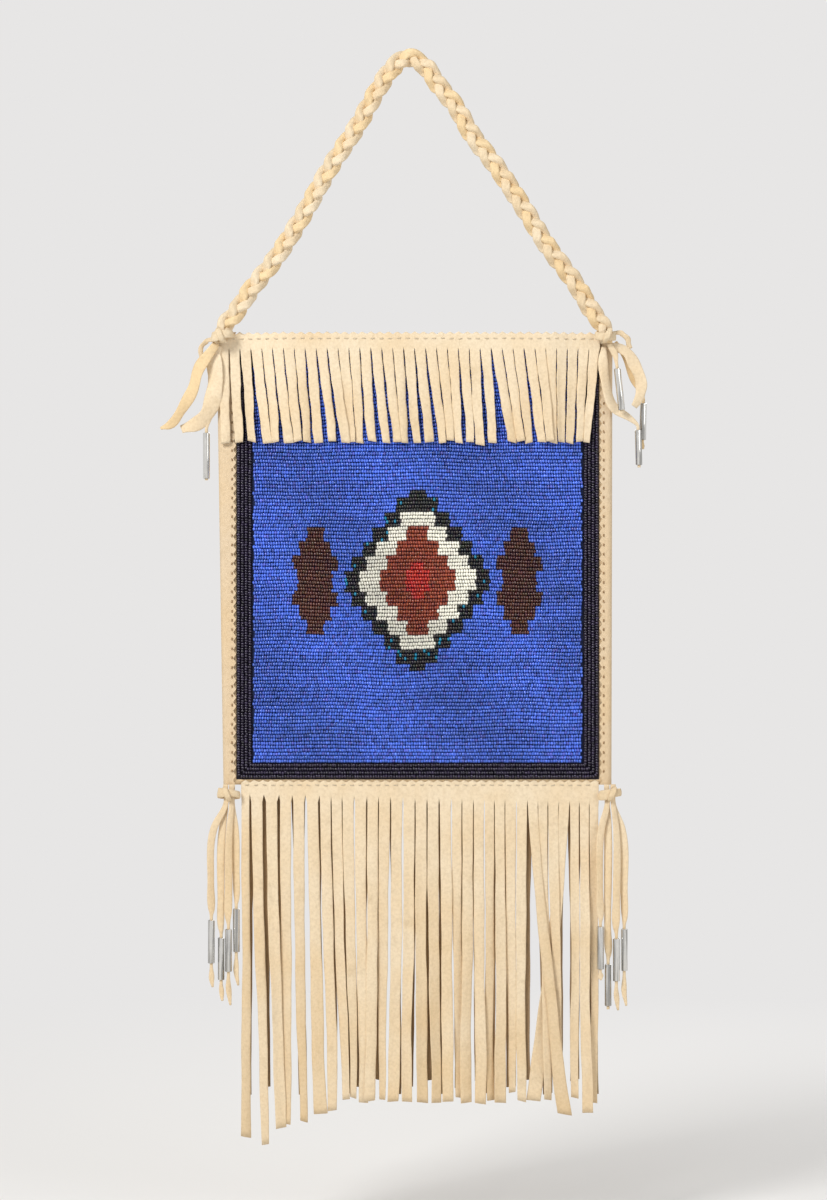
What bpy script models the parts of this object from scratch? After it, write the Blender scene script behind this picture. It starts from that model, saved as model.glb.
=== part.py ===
"""A fringed hide bag with a beaded front, hanging from the top of its plaited strap.

The origin is the underside of the strap where it bends over its hook. +Z is up and -Y is the
beaded front. Depths run forward from the rear face of the back panel.
"""

import math
from collections import defaultdict

import bmesh
import bpy
from mathutils import Vector

GAP = 0.0003
REAR_Y = 0.0035
PLANE_WITHIN = 0.000001

# The stack of layers, from the rear
BACK_HIDE = 0.0014
SEAM_GAP = 0.0019
FRONT_HIDE = 0.0012
FLANGE_HIDE = 0.0014
BEAD_BASE = 0.0013
BEAD_RIDGE = 0.0006
FRINGE_HIDE = 0.0012
FRONT_BACK = BACK_HIDE + SEAM_GAP
FRONT_FACE = FRONT_BACK + FRONT_HIDE
FLANGE_BACK = FRONT_FACE + GAP
FLANGE_FACE = FLANGE_BACK + FLANGE_HIDE
BEAD_BACK = FRONT_FACE + GAP
BEAD_VALLEY = BEAD_BACK + BEAD_BASE
BEAD_FACE = BEAD_VALLEY + BEAD_RIDGE
UPPER_FRINGE_BACK = BEAD_FACE + 2 * GAP
LOWER_FRINGE_BACK = FRONT_FACE + GAP
REAR_FRINGE_BACK = BACK_HIDE + (SEAM_GAP - FRINGE_HIDE) / 2

# The body: its outer edges slant a little, and each narrow flange has an upright inner edge
BODY_TOP = -0.1562
BODY_BOTTOM = -0.4203
LEFT_TOP = -0.1119
LEFT_BOTTOM = -0.1079
RIGHT_TOP = 0.1195
RIGHT_BOTTOM = 0.1189
LEFT_FLANGE_IN = -0.1003
RIGHT_FLANGE_IN = 0.1116
FOLD_RADIUS = FLANGE_FACE / 2
FOLD_STEPS = 6
TOOTH = 0.0051
TOOTH_DEPTH = 0.0017
FRONT_PANEL_DROP = 0.0022

# The beads
BORDER_WIDTH = 0.0088
BORDER_LANES = 4
BORDER_ARC_STEPS = 4
FIELD_TOP = -0.1638
FIELD_ROWS = 117
BORDER_BOTTOM = -0.4166
BORDER_LEFT = LEFT_FLANGE_IN + GAP
BORDER_RIGHT = RIGHT_FLANGE_IN - GAP
FIELD_LEFT = BORDER_LEFT + BORDER_WIDTH + GAP
FIELD_RIGHT = BORDER_RIGHT - BORDER_WIDTH - GAP
FIELD_BOTTOM = BORDER_BOTTOM + BORDER_WIDTH + GAP
ROW = (FIELD_TOP - FIELD_BOTTOM) / FIELD_ROWS

# The front bulges forward inside the bead border
SWELL = 0.0045
SWELL_RUN = 0.022

# The bead picture: one band is two rows. Each list gives half widths from the middle band outward
MOTIF_X = 0.0055
MOTIF_MIDDLE_BAND = 25
MEDALLION = (0.042, 0.042, 0.038, 0.038, 0.032, 0.032, 0.026, 0.026, 0.019, 0.019, 0.012, 0.012, 0.005)
WHITE_RING = (0.034, 0.034, 0.030, 0.030, 0.024, 0.024, 0.017, 0.017, 0.010, 0.010)
RUST_PANEL = (0.022, 0.022, 0.018, 0.018, 0.012, 0.012, 0.006, 0.006)
RED_CENTRE = (0.007, 0.007, 0.004)
SIDE_FIGURE = (0.010, 0.010, 0.013, 0.013, 0.009, 0.009, 0.005, 0.005)
SIDE_FIGURE_GAP = 0.0045
SIDE_FIGURE_OUT = MEDALLION[0] + SIDE_FIGURE_GAP + max(SIDE_FIGURE)

# The upper fringe: how far each strand's end moves sideways, how much shorter it is, and how far
# it stands forward, all in millimetres
UPPER_FRINGE_LEFT = -0.1108
UPPER_FRINGE_RIGHT = 0.1119
UPPER_SLIT_TOP = -0.1655
UPPER_FRINGE_END = -0.2212
SLIT = 0.0005
UPPER_STRANDS = (
    (1.5, 0, 0.0), (2.6, 0.5, 0.0), (4.0, 1, 0.0), (6.5, 0, 0.0), (5.5, 0.5, 0.0), (6.0, 0, 0.0),
    (5.5, 1, 0.0), (4.5, 0.5, 0.0), (5.0, 0, 0.0), (6.5, 1, 0.0), (7.5, 0, 1.9), (5.0, 0.5, 0.0),
    (3.5, 0, 0.0), (3.6, 1, 0.0), (5.5, 0, 0.0), (6.0, 0.5, 0.0), (4.0, 0, 0.0), (4.5, 0, 0.0),
    (5.5, 0.5, 0.0), (7.0, 0, 0.0), (5.5, 1.5, 0.0), (3.5, 0, 0.0), (4.0, 0.5, 0.0), (3.0, -1.2, 0.0),
    (4.5, 0, 0.0), (9.0, 0.5, 0.0), (8.0, 1, 0.0), (6.5, 0, 0.0), (7.5, 0.5, 0.0), (6.0, 1, 1.9),
    (1.5, 0, 0.0), (-1.0, 0.5, 0.0), (-1.5, 0, 0.0), (-2.0, 1, 0.0), (-5.0, 0.5, 0.0),
)
UPPER_STEPS = 3

# The lower fringe, front strip: slit places, and for each strand the place of its end, its end
# height, its end width and how far it stands forward, all in millimetres
LOWER_FRINGE_LEFT = -0.0974
LOWER_FRINGE_RIGHT = RIGHT_FLANGE_IN - GAP
LOWER_FRINGE_TOP = -0.4174
LOWER_SLIT_LEFT = -0.4255
LOWER_SLIT_RIGHT = -0.4300
LOWER_SLITS = (
    -92.4, -84.2, -75.2, -67.6, -60.0, -51.6, -44.9, -38.5, -31.5, -23.9, -17.2, -10.2, -2.9, 4.1,
    11.1, 18.1, 25.4, 31.5, 38.2, 44.6, 50.4, 56.6, 63.3, 69.7, 75.8, 81.6, 88.0, 94.4, 100.0, 105.8,
)
LOWER_STRANDS = (
    (-94.2, -625.5, 6.0, 1.9), (-83.1, -630.2, 4.2, 0.0), (-74.3, -620.3, 6.2, 1.7), (-71.4, -618.0, 6.2, 0.0),
    (-61.5, -616.8, 4.4, 0.0), (-50.7, -612.2, 8.0, 0.0), (-43.7, -610.4, 5.6, 0.0), (-36.3, -604.0, 5.2, -1.6),
    (-31.4, -603.0, 3.6, 0.0), (-26.2, -605.8, 5.4, 0.0), (-21.9, -604.6, 6.8, 1.9), (-15.8, -604.0, 3.8, 0.0),
    (-8.2, -605.2, 6.6, 0.0), (-0.6, -605.2, 5.8, 0.0), (7.9, -605.8, 6.8, 0.0), (16.0, -605.8, 6.2, 0.0),
    (23.9, -605.2, 6.8, 0.0), (29.5, -603.0, 4.4, -1.6), (34.0, -605.8, 6.8, 0.0), (42.0, -606.3, 6.8, 0.0),
    (48.2, -604.6, 4.6, -1.6), (54.6, -605.8, 6.8, 0.0), (60.6, -600.0, 4.4, -1.6), (65.6, -605.0, 5.2, 0.0),
    (91.8, -612.2, 8.2, 1.9), (81.6, -604.0, 5.0, 0.0), (87.8, -601.0, 4.6, 0.0), (73.5, -604.8, 8.6, -1.6),
    (97.6, -603.0, 4.6, 0.0), (104.4, -611.6, 7.0, 0.0), (108.5, -606.0, 4.2, -1.6),
)
LOWER_STEPS = 5
LOWER_STRAND_WIDTH = 0.0064

# The lower fringe, rear strip
REAR_FRINGE_TOP = -0.4130
REAR_SLIT_TOP = -0.4225
REAR_FRINGE_END = -0.6010
REAR_STRANDS = 22
REAR_STEPS = 2

# The strap: the middle line of the plait, from the left corner over the hook to the right corner
STRAP_LINE = (
    (-108.9, -163.2), (-108.8, -158.5), (-107.0, -153.6), (-101.4, -146.8), (-90.9, -131.2), (-78.1, -114.9), (-61.8, -89.2),
    (-45.5, -60.3), (-29.1, -35.0), (-16.3, -12.2), (-9.0, -1.6), (0.0, 4.6), (8.4, 0.6), (18.1, -12.2),
    (28.0, -24.5), (36.1, -39.1), (51.3, -59.5), (67.6, -84.2), (80.5, -105.2), (97.4, -128.3),
    (108.6, -146.6), (113.6, -153.4), (115.2, -158.5), (115.3, -163.2),
)
STRAP_FORWARD = 0.0099
STRAP_END_SCALE = 0.62
STRAP_END_RUN = 0.014
PLAITS = 12
RINGS_PER_PLAIT = 9
PLAIT_SWING = 0.0031
PLAIT_DEPTH = 0.0021
PLAIT_TURN = 0.0040
THONG_HALF_WIDTH = 0.0020
THONG_HALF_THICK = 0.00085

# Ties and tassels. Each row of a lead is x, z, depth, half width and half thickness in millimetres
TUBE_RADIUS = 0.0020
TUBE_BORE = 0.0016
TUBE_SIDES = 8
IN_TUBE_HALF_WIDTH = 0.9
IN_TUBE_HALF_THICK = 0.75
TUBE_STRAIGHT = 2.0
SWEEP_STEPS = 2
LACE_SPREAD = 1.8
LACE_DEPTHS = (7.1, 9.3)
WRAP_THICK = 0.0012
WRAP_HEIGHT = 0.0050
WRAP_CORNERS = 12

HIDE = (0.86, 0.75, 0.55, 1.0)
TAN_HIDE = (0.74, 0.58, 0.33, 1.0)
SHADED_HIDE = (0.40, 0.26, 0.13, 1.0)
THONG_HIDE = (0.82, 0.69, 0.47, 1.0)
YELLOW_THONG = (0.78, 0.58, 0.28, 1.0)
BLUE_BEADS = (0.05, 0.10, 0.60, 1.0)
NIGHT_BEADS = (0.020, 0.014, 0.035, 1.0)
BLACK_BEADS = (0.018, 0.018, 0.016, 1.0)
WHITE_BEADS = (0.85, 0.83, 0.74, 1.0)
RUST_BEADS = (0.28, 0.06, 0.025, 1.0)
RED_BEADS = (0.50, 0.03, 0.02, 1.0)
BROWN_BEADS = (0.075, 0.022, 0.016, 1.0)
NICKEL = (0.70, 0.69, 0.66, 1.0)


def collection(name):
    made = bpy.data.collections.new(name)
    bpy.context.scene.collection.children.link(made)
    return made


def material(name, colour, roughness, metallic=0.0):
    made = bpy.data.materials.new(name)
    made.use_nodes = True
    shader = made.node_tree.nodes["Principled BSDF"]
    shader.inputs["Base Color"].default_value = colour
    shader.inputs["Roughness"].default_value = roughness
    shader.inputs["Metallic"].default_value = metallic
    made.diffuse_color = colour
    return made


def bends(face):
    """Whether a face has a corner off the plane of the others."""
    middle = face.calc_center_median()
    return any(abs((vert.co - middle).dot(face.normal)) > PLANE_WITHIN for vert in face.verts)


def add_object(name, bm, colour, flat_within=0.0):
    """Links one closed mesh as an object, with faces in one plane joined when an angle is given."""
    bmesh.ops.remove_doubles(bm, verts=bm.verts, dist=1e-7)
    if flat_within:
        bmesh.ops.dissolve_limit(bm, angle_limit=flat_within, verts=bm.verts, edges=bm.edges)
    bmesh.ops.recalc_face_normals(bm, faces=bm.faces)
    bmesh.ops.triangulate(bm, faces=[face for face in bm.faces if bends(face)])
    mesh = bpy.data.meshes.new(name)
    bm.to_mesh(mesh)
    bm.free()
    mesh.materials.append(colour)
    made = bpy.data.objects.new(name, mesh)
    bpy.data.collections["beaded_bag"].objects.link(made)
    return made


def swell(x, z):
    """How far the front stands forward of its flat margin."""
    inward = min(SWELL_RUN, x - FIELD_LEFT, FIELD_RIGHT - x, z - FIELD_BOTTOM)
    return SWELL * max(0.0, inward) / SWELL_RUN


def slab(name, polygons, back, front, colour, flat_within=0.0):
    """A closed sheet: polygons of (x, z, lift) seen from the front, between two depth functions."""
    bm = bmesh.new()
    made = {}

    def corner(point, side):
        key = (side, *(round(value, 7) for value in point))
        if key not in made:
            x, z, lift = point
            made[key] = bm.verts.new((x, REAR_Y - (back, front)[side](x, z) - lift, z))
        return made[key]

    edges = {}
    for polygon in polygons:
        bm.faces.new([corner(point, 1) for point in polygon])
        bm.faces.new([corner(point, 0) for point in reversed(polygon)])
        for a, b in zip(polygon, polygon[1:] + polygon[:1]):
            a_key = tuple(round(value, 7) for value in a)
            b_key = tuple(round(value, 7) for value in b)
            if edges.pop((b_key, a_key), None) is None:
                edges[a_key, b_key] = (a, b)
    for a, b in edges.values():
        bm.faces.new([corner(b, 1), corner(a, 1), corner(a, 0), corner(b, 0)])
    return add_object(name, bm, colour, flat_within)


def with_shared_corners(polygons):
    """Adds to each level edge the corners that other polygons have on it."""
    on_level = defaultdict(set)
    for polygon in polygons:
        for x, z, _ in polygon:
            on_level[round(z, 7)].add(round(x, 7))
    done = []
    for polygon in polygons:
        full = []
        for a, b in zip(polygon, polygon[1:] + polygon[:1]):
            full.append(a)
            if round(a[1], 7) != round(b[1], 7):
                continue
            low, high = sorted((round(a[0], 7), round(b[0], 7)))
            between = sorted(x for x in on_level[round(a[1], 7)] if low < x < high)
            full += [(x, a[1], 0.0) for x in (between if a[0] < b[0] else reversed(between))]
        done.append(full)
    return done


def tooth_line(start, end, level):
    """The points of a pinked edge along x, from start to end, both included."""
    count = round((end - start) / TOOTH)
    pitch = (end - start) / count
    return [(start + i * pitch / 2, level - TOOTH_DEPTH * (i % 2)) for i in range(2 * count + 1)]


def on_tooth_line(line, x):
    for (x0, z0), (x1, z1) in zip(line, line[1:]):
        if x0 <= x <= x1:
            return z0 + (z1 - z0) * (x - x0) / (x1 - x0)
    return line[-1][1]


def left_edge(z):
    return LEFT_TOP + (LEFT_BOTTOM - LEFT_TOP) * (BODY_TOP - z) / (BODY_TOP - BODY_BOTTOM)


def right_edge(z):
    return RIGHT_TOP + (RIGHT_BOTTOM - RIGHT_TOP) * (BODY_TOP - z) / (BODY_TOP - BODY_BOTTOM)


def add_back_panel(colour):
    """The rear hide with both edges folded forward, as one outer surface thickened inwards."""
    bm = bmesh.new()
    made = {}

    def corner(x, z, depth):
        key = (round(x, 7), round(z, 7), round(depth, 7))
        if key not in made:
            made[key] = bm.verts.new((x, REAR_Y - depth, z))
        return made[key]

    def fold(edge, side, z, step):
        turn = math.pi * step / FOLD_STEPS
        x = edge(z) - side * FOLD_RADIUS * (1 - math.sin(turn))
        return corner(x, z, FOLD_RADIUS * (1 - math.cos(turn)))

    fold_left = LEFT_TOP + FOLD_RADIUS
    fold_right = RIGHT_TOP - FOLD_RADIUS
    top = [corner(x, z, 0.0) for x, z in tooth_line(fold_left, fold_right, BODY_TOP)]
    low_left = fold(left_edge, -1, BODY_BOTTOM, 0)
    low_right = fold(right_edge, 1, BODY_BOTTOM, 0)
    bm.faces.new([low_left, low_right, *reversed(top)])
    for edge, side, inner in ((left_edge, -1, LEFT_FLANGE_IN), (right_edge, 1, RIGHT_FLANGE_IN)):
        for step in range(FOLD_STEPS):
            bm.faces.new([
                fold(edge, side, BODY_TOP, step), fold(edge, side, BODY_BOTTOM, step),
                fold(edge, side, BODY_BOTTOM, step + 1), fold(edge, side, BODY_TOP, step + 1),
            ])
        teeth = round((BODY_TOP - BODY_BOTTOM) / TOOTH)
        pitch = (BODY_TOP - BODY_BOTTOM) / teeth / 2
        inner_line = [
            corner(inner + side * TOOTH_DEPTH * (i % 2), BODY_BOTTOM + i * pitch, FLANGE_FACE)
            for i in range(2 * teeth + 1)
        ]
        outer = [fold(edge, side, BODY_TOP, FOLD_STEPS), fold(edge, side, BODY_BOTTOM, FOLD_STEPS)]
        bm.faces.new([*outer, *inner_line])
    made_object = add_object("back_panel", bm, colour)
    thick = made_object.modifiers.new("hide", "SOLIDIFY")
    thick.thickness = BACK_HIDE
    thick.offset = -1.0
    thick.use_even_offset = True


def swell_columns(z):
    """Where the slopes of the front meet its raised middle at this height."""
    run = min(SWELL_RUN, max(0.0, z - FIELD_BOTTOM))
    return FIELD_LEFT + run, FIELD_RIGHT - run


def add_front_panel(colour):
    top = BODY_TOP - FRONT_PANEL_DROP
    levels = (BODY_BOTTOM, FIELD_BOTTOM, FIELD_BOTTOM + SWELL_RUN, top)

    def columns(z):
        inner_left, inner_right = swell_columns(z)
        left = left_edge(z) + FOLD_RADIUS
        right = right_edge(z) - FOLD_RADIUS
        return left, FIELD_LEFT, inner_left, inner_right, FIELD_RIGHT, right

    polygons = []
    for low, high in zip(levels, levels[1:]):
        a, b = columns(low), columns(high)
        for i in range(len(a) - 1):
            points = [(a[i], low), (a[i + 1], low), (b[i + 1], high), (b[i], high)]
            points = list(dict.fromkeys((round(x, 7), round(z, 7)) for x, z in points))
            if len(points) > 2:
                polygons.append([(x, z, 0.0) for x, z in points])
    slab(
        "front_panel", with_shared_corners(polygons),
        lambda x, z: FRONT_BACK + swell(x, z), lambda x, z: FRONT_FACE + swell(x, z), colour,
    )


def bead_polygons(rows, pitch):
    """Ridged bead rows. rows holds, by row number, the spans it covers. Rows with like spans meet
    in the valley between them, and others are bridged across a narrow one."""
    half = GAP / 2
    polygons = []

    def strip(z0, z1, span0, span1):
        for (a0, b0), (a1, b1) in zip(span0, span1):
            polygons.append([(a0, z0, 0.0), (b0, z0, 0.0), (b1, z1, 0.0), (a1, z1, 0.0)])

    def split(span, z):
        inner = [x for x in swell_columns(z) if span[0] + half < x < span[1] - half]
        ends = [span[0], *inner, span[1]]
        return list(zip(ends, ends[1:]))

    for number, spans in rows.items():
        low, high = FIELD_BOTTOM + number * pitch, FIELD_BOTTOM + (number + 1) * pitch
        like_next = rows.get(number + 1) == spans
        like_last = rows.get(number - 1) == spans
        levels = (low + (0 if like_last else half), (low + high) / 2, high - (0 if like_next else half))
        for span in spans:
            for z0, z1 in zip(levels, levels[1:]):
                strip(z0, z1, split(span, z0), split(span, z1))
        if like_next:
            continue
        for span in spans:
            for other in rows.get(number + 1, ()):
                both = max(span[0], other[0]), min(span[1], other[1])
                if both[1] - both[0] > GAP:
                    z0, z1 = high - half, high + half
                    strip(z0, z1, split(both, z0), split(both, z1))
    return with_shared_corners(polygons)


def add_beads(name, rows, pitch, colour):
    def front(x, z):
        on_crest = abs((z - FIELD_BOTTOM) / pitch % 1 - 0.5) < GAP
        return BEAD_VALLEY + swell(x, z) + BEAD_RIDGE * on_crest

    slab(
        name, bead_polygons(rows, pitch), lambda x, z: BEAD_BACK + swell(x, z), front, colour,
        flat_within=0.002,
    )


def motif_bands():
    """Spans by band for each run of one colour, and the spans that all of them leave open."""
    shapes = defaultdict(dict)
    open_spans = {}
    half = GAP / 2

    def width(widths, step):
        return widths[step] if step < len(widths) else 0.0

    for step in range(1 - len(MEDALLION), len(MEDALLION)):
        band = MOTIF_MIDDLE_BAND + step
        sizes = [width(widths, abs(step)) for widths in (MEDALLION, WHITE_RING, RUST_PANEL, RED_CENTRE)]
        names = ("beads_medallion", "beads_white_ring", "beads_rust_panel", "beads_red_centre")
        for name, outer, inner in zip(names, sizes, [*sizes[1:], 0.0]):
            if outer and inner:
                shapes[name][band] = [
                    (MOTIF_X - outer + half, MOTIF_X - inner - half),
                    (MOTIF_X + inner + half, MOTIF_X + outer - half),
                ]
            elif outer:
                shapes[name][band] = [(MOTIF_X - outer + half, MOTIF_X + outer - half)]
        covered = [(MOTIF_X - sizes[0], MOTIF_X + sizes[0])]
        side = width(SIDE_FIGURE, abs(step))
        if side:
            for name, centre in (("left", MOTIF_X - SIDE_FIGURE_OUT), ("right", MOTIF_X + SIDE_FIGURE_OUT)):
                shapes["beads_figure_" + name][band] = [(centre - side + half, centre + side - half)]
                covered.append((centre - side, centre + side))
        edges = [x for span in sorted(covered) for x in span]
        starts = [FIELD_LEFT, *(x + half for x in edges[1::2])]
        ends = [*(x - half for x in edges[0::2]), FIELD_RIGHT]
        open_spans[band] = list(zip(starts, ends))
    return shapes, open_spans


def add_bead_work(materials):
    shapes, open_spans = motif_bands()
    rows = {row: open_spans.get(row // 2, [(FIELD_LEFT, FIELD_RIGHT)]) for row in range(FIELD_ROWS)}
    add_beads("bead_field", rows, ROW, materials["blue"])
    for name, bands in shapes.items():
        add_beads(name, bands, 2 * ROW, materials[name])


def add_bead_border(colour):
    """Lanes that run down the left side, round two corners and up the right side."""
    bm = bmesh.new()
    left, right = FIELD_LEFT - GAP, FIELD_RIGHT + GAP
    low = FIELD_BOTTOM - GAP

    def line(out):
        arc = [math.pi / 2 * i / BORDER_ARC_STEPS for i in range(BORDER_ARC_STEPS + 1)]
        left_arc = [(left - out * math.cos(a), low - out * math.sin(a)) for a in arc]
        right_arc = [(right + out * math.sin(a), low - out * math.cos(a)) for a in arc]
        return [(left - out, FIELD_TOP), *left_arc, *right_arc, (right + out, FIELD_TOP)]

    count = 2 * BORDER_LANES
    profile = [(BORDER_WIDTH * i / count, BEAD_VALLEY + BEAD_RIDGE * (i % 2)) for i in range(count + 1)]
    profile += [(BORDER_WIDTH, BEAD_BACK), (0.0, BEAD_BACK)]
    lines = [
        [bm.verts.new((x, REAR_Y - depth, z)) for x, z in line(out)] for out, depth in profile
    ]
    for one, two in zip(lines, lines[1:] + lines[:1]):
        for i in range(len(one) - 1):
            bm.faces.new([one[i], one[i + 1], two[i + 1], two[i]])
    bm.faces.new([points[0] for points in lines])
    bm.faces.new([points[-1] for points in reversed(lines)])
    bmesh.ops.dissolve_degenerate(bm, dist=1e-7, edges=bm.edges)
    add_object("bead_border", bm, colour)


def add_fringe(name, top_line, slits, strands, depth, colour, swelling):
    """One strip of hide: a band under top_line, cut at slits of (x, z). Each strand is a list of
    (left, right, z, lift) levels that starts at the foot of the band."""
    polygons = []
    ends = [(top_line[0][0], slits[0][1]), *slits, (top_line[-1][0], slits[-1][1])]
    last = len(ends) - 2
    for i, ((x0, z0), (x1, z1)) in enumerate(zip(ends, ends[1:])):
        left = x0 + (SLIT / 2 if i else 0.0)
        right = x1 - (SLIT / 2 if i < last else 0.0)
        above = [point for point in top_line if x0 < point[0] < x1]
        band = [(left, z0, 0.0), (right, z1, 0.0)]
        if i < last:
            band.append((x1, z1 + SLIT, 0.0))
        band.append((x1, on_tooth_line(top_line, x1), 0.0))
        band += [(x, z, 0.0) for x, z in reversed(above)]
        band.append((x0, on_tooth_line(top_line, x0), 0.0))
        if i:
            band.append((x0, z0 + SLIT, 0.0))
        polygons.append(band)
        levels = [((left, z0, 0.0), (right, z1, 0.0))]
        levels += [((a, z, lift), (b, z, lift)) for a, b, z, lift in strands[i]]
        for (a0, b0), (a1, b1) in zip(levels, levels[1:]):
            polygons.append([a1, b1, b0, a0])

    def level(base):
        return lambda x, z: base + (swell(x, z) if swelling else 0.0)

    slab(name, polygons, level(depth), level(depth + FRINGE_HIDE), colour)


def add_upper_fringe(colour):
    count = len(UPPER_STRANDS)
    pitch = (UPPER_FRINGE_RIGHT - UPPER_FRINGE_LEFT) / count
    slits = [(UPPER_FRINGE_LEFT + i * pitch, UPPER_SLIT_TOP) for i in range(1, count)]
    strands = [[] for _ in UPPER_STRANDS]
    for step in range(1, UPPER_STEPS + 1):
        along = step / UPPER_STEPS
        half = (pitch - SLIT) / 2 - 0.3 * SLIT * along
        spans = []
        for i, (shift, _, _) in enumerate(UPPER_STRANDS):
            centre = UPPER_FRINGE_LEFT + (i + 0.5) * pitch + shift / 1000 * along
            spans.append([centre - half, centre + half])
        for i, (one, other) in enumerate(zip(spans, spans[1:])):
            if UPPER_STRANDS[i][2] == UPPER_STRANDS[i + 1][2] and one[1] > other[0] - GAP:
                middle = (one[1] + other[0]) / 2
                one[1], other[0] = middle - GAP / 2, middle + GAP / 2
        for (left, right), levels, (_, shorter, lift) in zip(spans, strands, UPPER_STRANDS):
            length = UPPER_SLIT_TOP - UPPER_FRINGE_END - shorter / 1000
            levels.append((left, right, UPPER_SLIT_TOP - length * along, lift / 1000))
    top = tooth_line(UPPER_FRINGE_LEFT, UPPER_FRINGE_RIGHT, BODY_TOP)
    add_fringe("upper_fringe", top, slits, strands, UPPER_FRINGE_BACK, colour, True)


def add_lower_fringe(colour):
    slits = []
    for x in LOWER_SLITS:
        along = (x / 1000 - LOWER_FRINGE_LEFT) / (LOWER_FRINGE_RIGHT - LOWER_FRINGE_LEFT)
        slits.append((x / 1000, LOWER_SLIT_LEFT + (LOWER_SLIT_RIGHT - LOWER_SLIT_LEFT) * along))
    edges = [LOWER_FRINGE_LEFT, *(x for x, _ in slits), LOWER_FRINGE_RIGHT]
    strands = []
    for i, (end_x, end_z, end_width, lift) in enumerate(LOWER_STRANDS):
        middle = (edges[i] + edges[i + 1]) / 2
        start_half = min(LOWER_STRAND_WIDTH, edges[i + 1] - edges[i] - SLIT) / 2
        start_z = slits[min(i, len(slits) - 1)][1]
        levels = []
        for step in range(1, LOWER_STEPS + 1):
            along = step / LOWER_STEPS
            centre = middle + (end_x / 1000 - middle) * along**1.3
            half = start_half + (end_width / 2000 - start_half) * along**2
            raised = lift / 1000 * min(1.0, 2 * along)
            levels.append((centre - half, centre + half, start_z + (end_z / 1000 - start_z) * along, raised))
        strands.append(levels)
    top = tooth_line(LOWER_FRINGE_LEFT, LOWER_FRINGE_RIGHT, LOWER_FRINGE_TOP)
    add_fringe("lower_fringe_front", top, slits, strands, LOWER_FRINGE_BACK, colour, False)


def add_rear_fringe(colour):
    pitch = (LOWER_FRINGE_RIGHT - LOWER_FRINGE_LEFT) / REAR_STRANDS
    slits = [(LOWER_FRINGE_LEFT + i * pitch, REAR_SLIT_TOP) for i in range(1, REAR_STRANDS)]
    strands = []
    for i in range(REAR_STRANDS):
        left, right = LOWER_FRINGE_LEFT + i * pitch + SLIT, LOWER_FRINGE_LEFT + (i + 1) * pitch - SLIT
        length = REAR_SLIT_TOP - REAR_FRINGE_END - 0.004 * (i % 3)
        steps = range(1, REAR_STEPS + 1)
        strands.append([(left, right, REAR_SLIT_TOP - length * s / REAR_STEPS, 0.0) for s in steps])
    top = [(LOWER_FRINGE_LEFT, REAR_FRINGE_TOP), (LOWER_FRINGE_RIGHT, REAR_FRINGE_TOP)]
    add_fringe("lower_fringe_rear", top, slits, strands, REAR_FRINGE_BACK, colour, False)


def smooth(rows, steps):
    """Points of a smooth curve through rows of numbers that start with a place."""
    points = [Vector(row) for row in rows]
    spans = [(Vector(b[:3]) - Vector(a[:3])).length for a, b in zip(rows, rows[1:])]
    slopes = [(b - a) / span for a, b, span in zip(points, points[1:], spans)]
    tangents = [slopes[0]]
    for i in range(1, len(slopes)):
        before, after = spans[i - 1], spans[i]
        tangents.append((slopes[i - 1] * after + slopes[i] * before) / (before + after))
    tangents.append(slopes[-1])
    done = []
    for i, span in enumerate(spans):
        for step in range(steps):
            t = step / steps
            done.append(
                points[i] * (2 * t**3 - 3 * t**2 + 1) + tangents[i] * span * (t**3 - 2 * t**2 + t)
                + points[i + 1] * (3 * t**2 - 2 * t**3) + tangents[i + 1] * span * (t**3 - t**2)
            )
    done.append(points[-1])
    return done


def add_rings(name, rings, colour, closed=False):
    """A closed body through rings of points."""
    bm = bmesh.new()
    rings = [[bm.verts.new(point) for point in ring] for ring in rings]
    sides = len(rings[0])
    for one, two in zip(rings, rings[1:] + rings[:1] if closed else rings[1:]):
        for i in range(sides):
            bm.faces.new([one[i], one[(i + 1) % sides], two[(i + 1) % sides], two[i]])
    if not closed:
        bm.faces.new(rings[0])
        bm.faces.new(list(reversed(rings[-1])))
    return add_object(name, bm, colour)


def strap_points():
    """Even points along the strap's middle line, with the way along it and the way across."""
    fine = smooth([(x / 1000, 0.0, z / 1000) for x, z in STRAP_LINE], 16)
    lengths = [0.0]
    for a, b in zip(fine, fine[1:]):
        lengths.append(lengths[-1] + (b - a).length)
    apex = max(range(len(fine)), key=lambda i: fine[i].z)
    count = PLAITS * RINGS_PER_PLAIT
    done = []
    at = 0
    for i in range(count + 1):
        want = lengths[-1] * i / count
        while at < len(fine) - 2 and lengths[at + 1] < want:
            at += 1
        along = (want - lengths[at]) / (lengths[at + 1] - lengths[at])
        point = fine[at].lerp(fine[at + 1], along)
        before, after = fine[max(at - 6, 0)], fine[min(at + 7, len(fine) - 1)]
        leg = lengths[apex] if want < lengths[apex] else lengths[-1] - lengths[apex]
        forward = STRAP_FORWARD * abs(want - lengths[apex]) / leg
        from_end = min(want, lengths[-1] - want)
        scale = STRAP_END_SCALE + (1 - STRAP_END_SCALE) * min(1.0, from_end / STRAP_END_RUN)
        done.append((point - Vector((0, forward, 0)), (after - before).normalized(), want, scale))
    return done, lengths[-1]


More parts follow.
